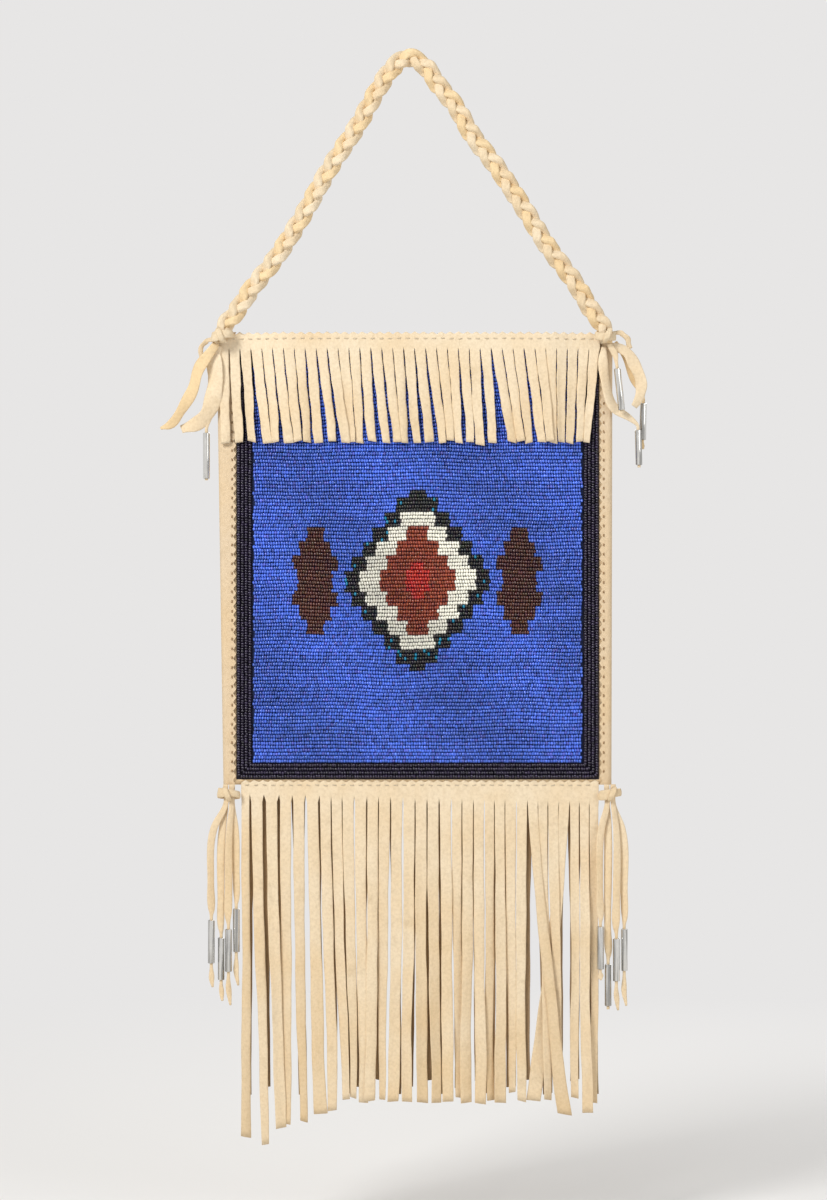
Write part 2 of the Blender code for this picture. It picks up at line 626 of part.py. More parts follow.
def add_strap(colours):
    points, length = strap_points()
    period = length / PLAITS
    for strand in range(3):
        rings = []
        for middle, along, want, scale in points:
            turn = 2 * math.pi * (want / period + strand / 3)
            across = Vector((along.z, 0.0, -along.x))
            ahead = Vector((0.0, -1.0, 0.0))
            swing, rise = PLAIT_SWING * math.cos(turn), 2 * PLAIT_DEPTH * math.cos(2 * turn)
            roll = math.atan2(rise, math.hypot(swing, PLAIT_TURN))
            stretch = math.hypot(1.0, 2 * math.pi * swing / period)
            sideways = across * PLAIT_SWING * math.sin(turn)
            centre = middle + (sideways + ahead * PLAIT_DEPTH * math.sin(2 * turn)) * scale
            ring = []
            for wide, thick in ((1, 0), (0, 1), (-1, 0), (0, -1)):
                u, v = wide * THONG_HALF_WIDTH, thick * THONG_HALF_THICK
                side = (u * math.cos(roll) - v * math.sin(roll)) * stretch
                depth = u * math.sin(roll) + v * math.cos(roll)
                ring.append(centre + (across * side + ahead * depth) * scale)
            rings.append(ring)
        add_rings(f"strap_thong_{strand + 1}", rings, colours[strand])


def add_sweep(name, rows, colour):
    """A flat thong through rows of x, z, depth, half width and half thickness in millimetres."""
    points = smooth(rows, SWEEP_STEPS)
    places = [Vector((p[0] / 1000, REAR_Y - p[2] / 1000, p[1] / 1000)) for p in points]
    rings = []
    along = (places[1] - places[0]).normalized()
    across = along.cross(Vector((0.0, -1.0, 0.0))).normalized()
    for i, place in enumerate(places):
        ahead = (places[min(i + 1, len(places) - 1)] - places[max(i - 1, 0)]).normalized()
        across = (along.rotation_difference(ahead) @ across).normalized()
        across = (across - ahead * across.dot(ahead)).normalized()
        along = ahead
        face = across.cross(along)
        half, thick = points[i][3] / 1000, points[i][4] / 1000
        corners = ((half, thick), (-half, thick), (-half, -thick), (half, -thick))
        rings.append([place + across * u + face * v for u, v in corners])
    add_rings(name, rings, colour)


def add_tube(name, top, low, colour):
    """An open metal tube between two middle points of (x, z, depth) in millimetres."""
    ends = [Vector((x / 1000, REAR_Y - depth / 1000, z / 1000)) for x, z, depth in (top, low)]
    turn = (ends[1] - ends[0]).to_track_quat("Z", "X")
    rings = []
    for end, radius in zip((0, 1, 1, 0), (TUBE_RADIUS, TUBE_RADIUS, TUBE_BORE, TUBE_BORE)):
        angles = [2 * math.pi * i / TUBE_SIDES for i in range(TUBE_SIDES)]
        rings.append([ends[end] + turn @ Vector((radius * math.cos(a), radius * math.sin(a), 0)) for a in angles])
    add_rings(name, rings, colour, closed=True)


def through_tube(top, low, tail):
    """The rows of a thong that runs down through a tube and out of it to its tail end."""
    a, b = Vector(top), Vector(low)
    way = (b - a).normalized()
    places = (a - way * TUBE_STRAIGHT, a, b, b + way * min(TUBE_STRAIGHT, tail))
    rows = [(p.x, p.y, p.z, IN_TUBE_HALF_WIDTH, IN_TUBE_HALF_THICK) for p in places]
    if tail > TUBE_STRAIGHT:
        end = b + way * tail
        rows.append((end.x, end.y, end.z, IN_TUBE_HALF_WIDTH, IN_TUBE_HALF_THICK))
    return rows


def add_tubed_thong(name, lead, top, low, tail, colour, nickel):
    add_sweep(name, [*lead, *through_tube(top, low, tail)], colour)
    add_tube(name + "_tube", top, low, nickel)


def add_wrap(name, centre, half_x, half_depth, colour):
    """A thong bound once round what passes down through it; centre is (x, z, depth) in millimetres."""
    x, z, depth = (value / 1000 for value in centre)
    rings = []
    for i in range(WRAP_CORNERS):
        angle = 2 * math.pi * i / WRAP_CORNERS
        way = Vector((math.cos(angle), math.sin(angle), 0.0))
        sizes = (half_x / 1000, half_depth / 1000)
        inner = Vector((way.x * sizes[0], way.y * sizes[1], 0.0))
        outer = Vector((way.x * (sizes[0] + WRAP_THICK), way.y * (sizes[1] + WRAP_THICK), 0.0))
        middle = Vector((x, REAR_Y - depth, z + 0.0008 * math.sin(angle)))
        rise = Vector((0.0, 0.0, WRAP_HEIGHT / 2))
        rings.append([middle + inner - rise, middle + outer - rise * 0.7, middle + outer + rise * 0.7, middle + inner + rise])
    add_rings(name, rings, colour, closed=True)


def add_corner_laces(side, centre_x, laces, colour, nickel):
    """Four laces bound together under a lower corner, two before two. Each is given as
    (tail x, tube top, tube foot, tail length)."""
    for number, (tail_x, top, low, tail) in enumerate(laces, 1):
        x = centre_x + (LACE_SPREAD if number > 2 else -LACE_SPREAD)
        depth = LACE_DEPTHS[number % 2]
        lead = [
            (x, -420.0, depth, 1.45, 0.6), (x, -430.5, depth, 1.45, 0.6),
            (x + (tail_x - x) * 0.35, -445.0, depth, 2.1, 0.6), (tail_x, top + 22.0, depth, 2.2, 0.6),
        ]
        add_tubed_thong(
            f"lace_{side}_{number}", lead, (tail_x, top, depth), (tail_x, low, depth), tail, colour, nickel
        )
    add_wrap(f"wrap_lower_{side}", (centre_x, -425.5, sum(LACE_DEPTHS) / 2), 5.0, 2.9, colour)


def add_upper_ties(thong, yellow, pale, nickel):
    add_sweep("tie_left_loop", [
        (-112.0, -161.5, 6.9, 1.2, 0.5), (-115.5, -160.5, 5.5, 1.4, 0.5), (-119.5, -163.0, 5.5, 1.4, 0.5),
        (-121.0, -173.2, 5.5, 1.3, 0.5),
    ], thong)
    add_sweep("tie_left_broad", [
        (-111.0, -164.0, 9.4, 2.5, 0.6), (-112.5, -170.0, 9.4, 4.0, 0.6), (-112.5, -186.6, 9.4, 4.8, 0.6),
        (-115.4, -201.4, 9.4, 4.6, 0.6), (-123.4, -209.9, 9.4, 4.0, 0.6), (-132.0, -213.1, 9.4, 2.6, 0.6),
    ], pale)
    add_sweep("tie_left_pointed", [
        (-111.6, -163.2, 12.8, 2.0, 0.6), (-117.0, -171.0, 12.6, 3.2, 0.6), (-122.2, -179.3, 12.6, 3.5, 0.6),
        (-125.9, -191.6, 12.6, 3.4, 0.6), (-132.0, -202.6, 12.6, 3.0, 0.6), (-139.3, -211.0, 12.6, 2.2, 0.6),
        (-143.7, -212.7, 12.6, 0.8, 0.6),
    ], yellow)
    add_tubed_thong("tie_left_thong", [
        (-113.6, -164.0, 8.0, 1.2, 0.5), (-115.2, -180.0, 8.0, 1.4, 0.5), (-114.8, -204.0, 8.0, 1.5, 0.5),
    ], (-117.5, -215.0, 8.0), (-117.5, -241.7, 8.0), 1.0, thong, nickel)
    add_tubed_thong("tie_right_long", [
        (114.5, -165.0, 9.4, 1.5, 0.6), (113.4, -172.6, 9.4, 2.6, 0.6), (115.1, -185.8, 9.4, 3.0, 0.6),
        (120.4, -200.5, 9.4, 2.8, 0.6), (129.5, -207.0, 9.4, 1.8, 0.6),
    ], (134.0, -213.4, 9.4), (134.6, -233.8, 9.4), 1.5, pale, nickel)
    add_tubed_thong("tie_right_short", [
        (117.2, -163.5, 14.2, 1.5, 0.6), (119.4, -168.0, 14.2, 1.9, 0.6),
    ], (121.6, -178.0, 14.2), (124.2, -202.1, 14.2), 1.0, thong, nickel)
    add_sweep("tie_right_broad", [
        (118.0, -164.2, 12.2, 1.6, 0.6), (125.9, -167.5, 12.2, 3.2, 0.6), (131.8, -175.2, 12.2, 3.5, 0.6),
        (135.3, -185.8, 12.2, 3.4, 0.6), (135.4, -193.0, 12.2, 3.0, 0.6), (131.2, -200.0, 12.2, 2.0, 0.6),
    ], pale)
    add_sweep("tie_right_loop", [
        (117.6, -157.6, 8.3, 1.0, 0.6), (123.9, -156.8, 8.4, 1.5, 0.6), (128.0, -160.6, 8.4, 1.6, 0.6),
        (129.3, -166.0, 8.4, 1.4, 0.6),
    ], thong)
    add_tubed_thong("tie_right_inner", [
        (120.8, -162.0, 6.6, 1.2, 0.5), (126.5, -170.0, 6.6, 1.7, 0.5), (131.0, -184.0, 6.6, 1.7, 0.5),
    ], (137.4, -197.6, 5.8), (136.9, -219.0, 5.8), 5.5, yellow, nickel)


def main():
    for name in ("Cube", "Camera", "Light"):
        bpy.data.objects.remove(bpy.data.objects[name])
    collection("beaded_bag")
    hide = material("hide", HIDE, 0.85)
    tan = material("tan_hide", TAN_HIDE, 0.85)
    shaded = material("shaded_hide", SHADED_HIDE, 0.9)
    thong = material("thong", THONG_HIDE, 0.8)
    yellow = material("yellow_thong", YELLOW_THONG, 0.8)
    nickel = material("nickel", NICKEL, 0.25, 1.0)
    colours = {
        "blue": BLUE_BEADS, "border": NIGHT_BEADS, "beads_medallion": BLACK_BEADS,
        "beads_white_ring": WHITE_BEADS, "beads_rust_panel": RUST_BEADS, "beads_red_centre": RED_BEADS,
        "beads_figure_left": BROWN_BEADS, "beads_figure_right": BROWN_BEADS,
    }
    beads = {name: material(name, colour, 0.3) for name, colour in colours.items()}

    add_back_panel(tan)
    add_front_panel(hide)
    add_bead_work(beads)
    add_bead_border(beads["border"])
    add_upper_fringe(hide)
    add_lower_fringe(hide)
    add_rear_fringe(shaded)
    add_strap((thong, thong, yellow))
    add_wrap("wrap_strap_left", (-108.0, -158.9, 13.5), 4.8, 3.6, thong)
    add_wrap("wrap_strap_right", (114.8, -158.9, 13.5), 4.5, 3.6, thong)
    add_upper_ties(thong, yellow, hide, nickel)
    add_corner_laces("left", -104.4, (
        (-114.6, -499.0, -524.1, 14.0), (-109.0, -509.5, -534.0, 12.3),
        (-104.6, -504.3, -529.0, 19.6), (-100.2, -492.6, -517.7, 19.6),
    ), thong, nickel)
    add_corner_laces("right", 117.8, (
        (112.1, -502.8, -527.6, 6.4), (116.7, -524.9, -549.2, 2.9),
        (121.4, -509.8, -534.5, 17.0), (126.1, -504.3, -528.7, 20.5),
    ), thong, nickel)


main()
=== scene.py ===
"""Looks of a fringed hide bag with a beaded front, hanging from its plaited strap.

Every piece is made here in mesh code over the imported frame: seed beads, cut fringes, thongs,
metal tubes, stitches and the two hide panels.
"""

import math

import bmesh
import bpy
import numpy as np
from bpy.props import FloatProperty, FloatVectorProperty, IntProperty, PointerProperty
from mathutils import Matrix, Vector


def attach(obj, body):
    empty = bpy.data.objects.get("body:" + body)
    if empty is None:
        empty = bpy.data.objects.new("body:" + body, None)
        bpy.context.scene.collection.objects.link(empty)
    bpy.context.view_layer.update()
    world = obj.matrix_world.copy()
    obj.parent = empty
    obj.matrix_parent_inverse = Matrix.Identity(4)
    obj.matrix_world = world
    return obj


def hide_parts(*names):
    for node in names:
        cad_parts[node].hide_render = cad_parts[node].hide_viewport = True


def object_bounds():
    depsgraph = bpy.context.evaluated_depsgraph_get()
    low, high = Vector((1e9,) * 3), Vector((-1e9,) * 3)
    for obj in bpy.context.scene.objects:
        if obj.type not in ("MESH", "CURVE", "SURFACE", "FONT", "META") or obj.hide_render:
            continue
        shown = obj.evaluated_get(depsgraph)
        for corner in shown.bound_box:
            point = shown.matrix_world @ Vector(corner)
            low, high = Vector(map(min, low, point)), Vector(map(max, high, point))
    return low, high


bl_info = {
    "name": "Beaded hide bag",
    "version": (1, 0, 0),
    "blender": (4, 5, 0),
    "location": "3D View > Sidebar > Bag",
    "description": "Dresses a hide bag with seed beads, cut fringes, a plaited strap and lace ties",
    "category": "Add Mesh",
}

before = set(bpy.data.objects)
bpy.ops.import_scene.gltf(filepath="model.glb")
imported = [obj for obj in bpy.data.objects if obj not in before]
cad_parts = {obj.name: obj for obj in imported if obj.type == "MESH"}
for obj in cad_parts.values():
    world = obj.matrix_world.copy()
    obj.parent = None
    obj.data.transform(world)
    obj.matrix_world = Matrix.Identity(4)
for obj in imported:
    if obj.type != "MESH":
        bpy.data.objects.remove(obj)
CAD_BOX = [[float(v) for v in corner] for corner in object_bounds()]

MM = 0.001
REAR_Y = 0.0035

# Depths forward of the rear face, as in the solids
BACK_HIDE = 0.0014
FRONT_BACK = 0.0033
FRONT_FACE = 0.0045
FLANGE_FACE = 0.0062
BEAD_BACK = 0.0048
UPPER_FRINGE_BACK = 0.0073
LOWER_FRINGE_BACK = 0.0048
REAR_FRINGE_BACK = 0.00175

BODY_TOP, BODY_BOTTOM = -0.1562, -0.4203
LEFT_EDGE, RIGHT_EDGE = (-0.1119, -0.1079), (0.1195, 0.1189)
LEFT_FLANGE_IN, RIGHT_FLANGE_IN = -0.1003, 0.1116
FOLD_RADIUS = FLANGE_FACE / 2
TOOTH, TOOTH_DEPTH = 0.0051, 0.0017
GAP = 0.0003

BORDER_WIDTH, BORDER_LANES = 0.0088, 4
FIELD_TOP, FIELD_ROWS = -0.1638, 117
FIELD_LEFT = LEFT_FLANGE_IN + GAP + BORDER_WIDTH + GAP
FIELD_RIGHT = RIGHT_FLANGE_IN - GAP - BORDER_WIDTH - GAP
FIELD_BOTTOM = -0.4166 + BORDER_WIDTH + GAP
ROW = (FIELD_TOP - FIELD_BOTTOM) / FIELD_ROWS
SWELL, SWELL_RUN = 0.0045, 0.022

MOTIF_X, MOTIF_MIDDLE_BAND = 0.0055, 25
MOTIF_RINGS = {
    "beads_medallion": (42, 42, 38, 38, 32, 32, 26, 26, 19, 19, 12, 12, 5),
    "beads_white_ring": (34, 34, 30, 30, 24, 24, 17, 17, 10, 10),
    "beads_rust_panel": (22, 22, 18, 18, 12, 12, 6, 6),
    "beads_red_centre": (7, 7, 4),
}
SIDE_FIGURE, SIDE_FIGURE_OUT = (10, 10, 13, 13, 9, 9, 5, 5), 59.5

UPPER_SPAN, UPPER_SLIT_TOP, UPPER_END = (-0.1108, 0.1119), -0.1655, -0.2212
UPPER_STRANDS = (
    (1.5, 0, 0.0), (2.6, 0.5, 0.0), (4.0, 1, 0.0), (6.5, 0, 0.0), (5.5, 0.5, 0.0), (6.0, 0, 0.0),
    (5.5, 1, 0.0), (4.5, 0.5, 0.0), (5.0, 0, 0.0), (6.5, 1, 0.0), (7.5, 0, 1.9), (5.0, 0.5, 0.0),
    (3.5, 0, 0.0), (3.6, 1, 0.0), (5.5, 0, 0.0), (6.0, 0.5, 0.0), (4.0, 0, 0.0), (4.5, 0, 0.0),
    (5.5, 0.5, 0.0), (7.0, 0, 0.0), (5.5, 1.5, 0.0), (3.5, 0, 0.0), (4.0, 0.5, 0.0), (3.0, -1.2, 0.0),
    (4.5, 0, 0.0), (9.0, 0.5, 0.0), (8.0, 1, 0.0), (6.5, 0, 0.0), (7.5, 0.5, 0.0), (6.0, 1, 1.9),
    (1.5, 0, 0.0), (-1.0, 0.5, 0.0), (-1.5, 0, 0.0), (-2.0, 1, 0.0), (-5.0, 0.5, 0.0),
)
LOWER_SPAN, LOWER_TOP = (-0.0974, 0.1113), -0.4174
LOWER_SLITS = (
    -92.4, -84.2, -75.2, -67.6, -60.0, -51.6, -44.9, -38.5, -31.5, -23.9, -17.2, -10.2, -2.9, 4.1,
    11.1, 18.1, 25.4, 31.5, 38.2, 44.6, 50.4, 56.6, 63.3, 69.7, 75.8, 81.6, 88.0, 94.4, 100.0, 105.8,
)
LOWER_STRANDS = (
    (-94.2, -625.5, 6.0, 1.9), (-83.1, -630.2, 4.2, 0.0), (-74.3, -620.3, 6.2, 1.7),
    (-71.4, -618.0, 6.2, 0.0), (-61.5, -616.8, 4.4, 0.0), (-50.7, -612.2, 8.0, 0.0),
    (-43.7, -610.4, 5.6, 0.0), (-36.3, -604.0, 5.2, -1.6), (-31.4, -603.0, 3.6, 0.0),
    (-26.2, -605.8, 5.4, 0.0), (-21.9, -604.6, 6.8, 1.9), (-15.8, -604.0, 3.8, 0.0),
    (-8.2, -605.2, 6.6, 0.0), (-0.6, -605.2, 5.8, 0.0), (7.9, -605.8, 6.8, 0.0), (16.0, -605.8, 6.2, 0.0),
    (23.9, -605.2, 6.8, 0.0), (29.5, -603.0, 4.4, -1.6), (34.0, -605.8, 6.8, 0.0), (42.0, -606.3, 6.8, 0.0),
    (48.2, -604.6, 4.6, -1.6), (54.6, -605.8, 6.8, 0.0), (60.6, -600.0, 4.4, -1.6), (65.6, -605.0, 5.2, 0.0),
    (91.8, -612.2, 8.2, 1.9), (81.6, -604.0, 5.0, 0.0), (87.8, -601.0, 4.6, 0.0), (73.5, -604.8, 8.6, -1.6),
    (97.6, -603.0, 4.6, 0.0), (104.4, -611.6, 7.0, 0.0), (108.5, -606.0, 4.2, -1.6),
)
LOWER_STRAND_WIDTH, SLIT = 0.0064, 0.0005
LOWER_SLIT_TOP, LOWER_SLIT_SLANT = -0.4255, 0.0045
REAR_TOP, REAR_SLIT_TOP, REAR_END, REAR_STRANDS = -0.4130, -0.4225, -0.6010, 22
REAR_SHOWS = (-0.045, 0.075)
UPPER_STEPS, FRONT_POINTS, FRONT_DROP = 26, 76, 0.0022

STRAP_LINE = (
    (-108.9, -163.2), (-108.8, -158.5), (-107.0, -153.6), (-101.4, -146.8), (-90.9, -131.2), (-78.1, -114.9),
    (-61.8, -89.2), (-45.5, -60.3), (-29.1, -35.0), (-16.3, -12.2), (-9.0, -1.6), (0.0, 4.6), (8.4, 0.6),
    (18.1, -12.2), (28.0, -24.5), (36.1, -39.1), (51.3, -59.5), (67.6, -84.2), (80.5, -105.2), (97.4, -128.3),
    (108.6, -146.6), (113.6, -153.4), (115.2, -158.5), (115.3, -163.2),
)
STRAP_FORWARD, STRAP_END_SCALE, STRAP_END_RUN = 0.0099, 0.62, 0.014
PLAITS, PLAIT_SWING, PLAIT_DEPTH, PLAIT_TURN = 12, 0.0031, 0.0021, 0.0040
THONG_HALF = (0.0027, 0.00165)

TUBE_RADIUS, TUBE_BORE, TUBE_EASE, TUBE_SIDES = 0.0020, 0.0016, 0.00022, 28
FRONT = np.array([0.0, -1.0, 0.0])
SHARP_ANGLE = 0.9
LACE_SPREAD, LACE_DEPTHS = 1.8, (7.1, 9.3)
LACES = {
    "left": (-104.4, (
        (-114.6, -499.0, -524.1, 14.0), (-109.0, -509.5, -534.0, 12.3),
        (-104.6, -504.3, -529.0, 19.6), (-100.2, -492.6, -517.7, 19.6),
    )),
    "right": (117.8, (
        (112.1, -502.8, -527.6, 6.4), (116.7, -524.9, -549.2, 2.9),
        (121.4, -509.8, -534.5, 17.0), (126.1, -504.3, -528.7, 20.5),
    )),
}
# Rows of x, z, depth, half width and half thickness; then tube top, tube foot and tail length
TIES = {
    "tie_left_loop": ("thong", (
        (-112.0, -161.5, 6.9, 1.2, 0.5), (-115.5, -160.5, 5.5, 1.4, 0.5), (-119.5, -163.0, 5.5, 1.4, 0.5),
        (-121.0, -173.2, 5.5, 1.3, 0.5),
    ), None),
    "tie_left_broad": ("pale", (
        (-111.0, -164.0, 9.4, 2.5, 0.6), (-112.5, -170.0, 9.4, 4.0, 0.6), (-112.5, -186.6, 9.4, 4.8, 0.6),
        (-115.4, -201.4, 9.4, 4.6, 0.6), (-123.4, -209.9, 9.4, 4.0, 0.6), (-132.0, -213.1, 9.4, 2.6, 0.6),
    ), None),
    "tie_left_pointed": ("yellow", (
        (-111.6, -163.2, 12.8, 2.0, 0.6), (-117.0, -171.0, 12.6, 3.2, 0.6), (-122.2, -179.3, 12.6, 3.5, 0.6),
        (-125.9, -191.6, 12.6, 3.4, 0.6), (-132.0, -202.6, 12.6, 3.0, 0.6), (-139.3, -211.0, 12.6, 2.2, 0.6),
        (-143.7, -212.7, 12.6, 0.8, 0.6),
    ), None),
    "tie_left_thong": ("thong", (
        (-113.6, -164.0, 8.0, 1.2, 0.5), (-115.2, -180.0, 8.0, 1.4, 0.5), (-114.8, -204.0, 8.0, 1.5, 0.5),
    ), ((-117.5, -215.0, 8.0), (-117.5, -241.7, 8.0), 1.0)),
    "tie_right_long": ("pale", (
        (114.5, -165.0, 9.4, 1.5, 0.6), (113.4, -172.6, 9.4, 2.6, 0.6), (115.1, -185.8, 9.4, 3.0, 0.6),
        (120.4, -200.5, 9.4, 2.8, 0.6), (129.5, -207.0, 9.4, 1.8, 0.6),
    ), ((134.0, -213.4, 9.4), (134.6, -233.8, 9.4), 1.5)),
    "tie_right_short": ("thong", (
        (117.2, -163.5, 14.2, 1.5, 0.6), (119.4, -168.0, 14.2, 1.9, 0.6),
    ), ((121.6, -178.0, 14.2), (124.2, -202.1, 14.2), 1.0)),
    "tie_right_broad": ("pale", (
        (118.0, -164.2, 12.2, 1.6, 0.6), (125.9, -167.5, 12.2, 3.2, 0.6), (131.8, -175.2, 12.2, 3.5, 0.6),
        (135.3, -185.8, 12.2, 3.4, 0.6), (135.4, -193.0, 12.2, 3.0, 0.6), (131.2, -200.0, 12.2, 2.0, 0.6),
    ), None),
    "tie_right_loop": ("thong", (
        (117.6, -157.6, 8.3, 1.0, 0.6), (123.9, -156.8, 8.4, 1.5, 0.6), (128.0, -160.6, 8.4, 1.6, 0.6),
        (129.3, -166.0, 8.4, 1.4, 0.6),
    ), None),
    "tie_right_inner": ("yellow", (
        (120.8, -162.0, 6.6, 1.2, 0.5), (126.5, -170.0, 6.6, 1.7, 0.5), (131.0, -184.0, 6.6, 1.7, 0.5),
    ), ((137.4, -197.6, 5.8), (136.9, -219.0, 5.8), 5.5)),
}
LOOP_CARRIERS = {"tie_left_thong": "tie_left_loop", "tie_right_long": "tie_right_loop"}
# Centre in x, z and depth, then half width and half depth of what each wrap goes round
WRAPS = {
    "wrap_strap_left": ((-108.0, -158.9, 13.5), 4.8, 3.6),
    "wrap_strap_right": ((114.8, -158.9, 13.5), 4.5, 3.6),
    "wrap_lower_left": ((-104.4, -425.5, 8.2), 5.0, 2.9),
    "wrap_lower_right": ((117.8, -425.5, 8.2), 5.0, 2.9),
}
WRAP_THICK = 0.00062

# Painted shade for the hide under the border beads, where light does not reach between them
BORDER_PAINTED_SHADE = (0.008, 0.006, 0.014)
TEAL, TEAL_SHARE = (0.0, 0.21, 0.36), 0.08
VIOLET_TINT, VIOLET_SHARE = (1.25, 0.8, 0.85), 0.06
PIECE_BEADS = 4800
UPPER_STITCHES, LOWER_STITCHES, THREAD_RADIUS = -0.1603, -0.4205, 0.00036
FLOOR_COLOUR = (0.80, 0.79, 0.77)
BACKDROP = (0.80, 0.79, 0.785)
FLOOR_DROP, FLOOR_REACH, FLOOR_FADE = 0.05, 4.0, (0.69, 1.35)
WORLD_LIGHT, WORLD_SEEN = 0.48, 1.0
LAMPS = {
    "key": ((-1.0, -1.4, 0.8), 30.0, 0.6),
    "fill": ((1.3, -1.3, 0.1), 8.0, 1.0),
    "rear": ((0.3, 1.4, 0.6), 14.0, 1.2),
}
LAMPS_AIM = Vector((0.0, 0.0, -0.32))
CAMERA_PLACE, CAMERA_LENS, CAMERA_SENSOR = (0.0032, -1.948, -0.3125), 100.0, 36.0

FINISHES = {}


def distance(name, note, value):
    return FloatProperty(name=name, description=note, default=value, unit="LENGTH")


def paint(name, note, value):
    return FloatVectorProperty(name=name, description=note, default=value, subtype="COLOR")


class BagSizes(bpy.types.PropertyGroup):
    """Sizes of the fine work that a user may change."""

    bead_length: distance("Bead length", "Pitch of the seed beads along their row", 0.00151)
    bead_wave: distance("Row wave", "How far the bead rows wander up and down", 0.00045)
    hide_thickness: distance("Fringe hide", "Thickness of the cut fringe", 0.0012)
    fringe_curl: distance("Fringe curl", "How far the edges of a strand cup", 0.0006)
    fringe_twist: FloatProperty(
        name="Fringe twist", description="Turn of a strand towards its end", default=0.5, subtype="ANGLE"
    )
    stitch_length: distance("Stitch", "Length of one running stitch", 0.0026)
    wrap_turns: FloatProperty(name="Wrap turns", description="Turns of each corner's thong", default=2.6)
    strand_steps: IntProperty(name="Strand steps", description="Mesh steps along a fringe strand", default=44)


class BagColours(bpy.types.PropertyGroup):
    """Colours of the bag's materials."""

    hide: paint("Pale hide", "Fringe and front hide", (0.82, 0.685, 0.49))
    warm_hide: paint("Warm hide", "Handled and lower hide", (0.72, 0.50, 0.25))
    tan_hide: paint("Tan hide", "Rear panel and its edges", (0.70, 0.56, 0.39))
    shaded_hide: paint("Shaded hide", "Rear fringe", (0.38, 0.25, 0.13))
    thong: paint("Thong", "Laces and plait", (0.78, 0.64, 0.44))
    lace: paint("Lace", "Every second lace", (0.84, 0.70, 0.49))
    yellow_thong: paint("Yellow thong", "The yellower thong", (0.83, 0.64, 0.38))
    blue: paint("Blue beads", "Bead field", (0.063, 0.142, 0.62))
    night: paint("Border beads", "Near-black border", (0.016, 0.010, 0.030))
    black: paint("Black beads", "Medallion ring", (0.014, 0.013, 0.012))
    white: paint("White beads", "White ring", (0.80, 0.78, 0.68))
    rust: paint("Rust beads", "Middle panel", (0.25, 0.045, 0.018))
    red: paint("Red beads", "Centre", (0.45, 0.025, 0.015))
    brown: paint("Brown beads", "Side figures", (0.075, 0.022, 0.014))
    thread: paint("Thread", "Running stitches", (0.77, 0.64, 0.45))
    # Brown thread of the folded edges, made darker as painted shade of the stitch dimples
    shaded_brown_thread: paint("Shaded brown thread", "Stitches of the folded edges", (0.36, 0.20, 0.08))
    nickel: paint("Nickel", "Metal tubes", (0.74, 0.73, 0.70))


class Value:
    """A shader socket that takes part in Python expressions."""

    def __init__(self, nodes, socket):
        self.nodes = nodes
        self.socket = socket

    def _with(self, operation, first, second):
        return self.nodes.add("ShaderNodeMath", {"operation": operation}, {0: first, 1: second})

    def __add__(self, other):
        return self._with("ADD", self, other)

    __radd__ = __add__

    def __mul__(self, other):
        return self._with("MULTIPLY", self, other)

    __rmul__ = __mul__

    def __sub__(self, other):
        return self._with("SUBTRACT", self, other)

    def __rsub__(self, other):
        return self._with("SUBTRACT", other, self)

    def __gt__(self, other):
        return self._with("GREATER_THAN", self, other)

    def __lt__(self, other):
        return self._with("LESS_THAN", self, other)


class Nodes:
    """A node tree that grows by values and expressions."""

    def __init__(self, tree):
        self.tree = tree

    def put(self, socket, value):
        if isinstance(value, Value):
            self.tree.links.new(value.socket, socket)
        elif socket.type == "RGBA":
            socket.default_value = (*value[:3], 1.0)
        else:
            socket.default_value = value

    def add(self, kind, settings, values, output=0):
        node = self.tree.nodes.new(kind)
        for name, value in settings.items():
            setattr(node, name, value)
        for name, value in values.items():
            self.put(node.inputs[name], value)
        return Value(self, node.outputs[output])


class Finish(Nodes):
    """One node material, built from its Principled surface backwards."""

    def __init__(self, name):
        self.material = bpy.data.materials.new(name)
        self.material.use_nodes = True
        super().__init__(self.material.node_tree)
        self.surface = self.tree.nodes["Principled BSDF"]

    def noise(self, where, scale, detail=3.0, rough=0.55):
        values = {"Vector": where, "Scale": scale, "Detail": detail, "Roughness": rough}
        return self.add("ShaderNodeTexNoise", {}, values)

    def span(self, value, low, high):
        values = {"Value": value, "From Min": low, "From Max": high}
        return self.add("ShaderNodeMapRange", {}, values)

    def mix(self, factor, first, second):
        return self.add("ShaderNodeMix", {"data_type": "RGBA"}, {0: factor, 6: first, 7: second}, 2)

    def place(self):
        return self.add("ShaderNodeTexCoord", {}, {}, "Object")

    def stretched(self, x, y, z):
        return self.add("ShaderNodeMapping", {}, {"Vector": self.place(), "Scale": (x, y, z)})

    def height(self):
        return self.add("ShaderNodeSeparateXYZ", {}, {"Vector": self.place()}, "Z")

    def tint(self, name):
        return self.add("ShaderNodeAttribute", {"attribute_name": name}, {}, "Fac")

    def finished(self, sockets):
        for name, value in sockets.items():
            self.put(self.surface.inputs[name], value)
        return self.material


def darker(shade, share):
    return tuple(value * share for value in shade)


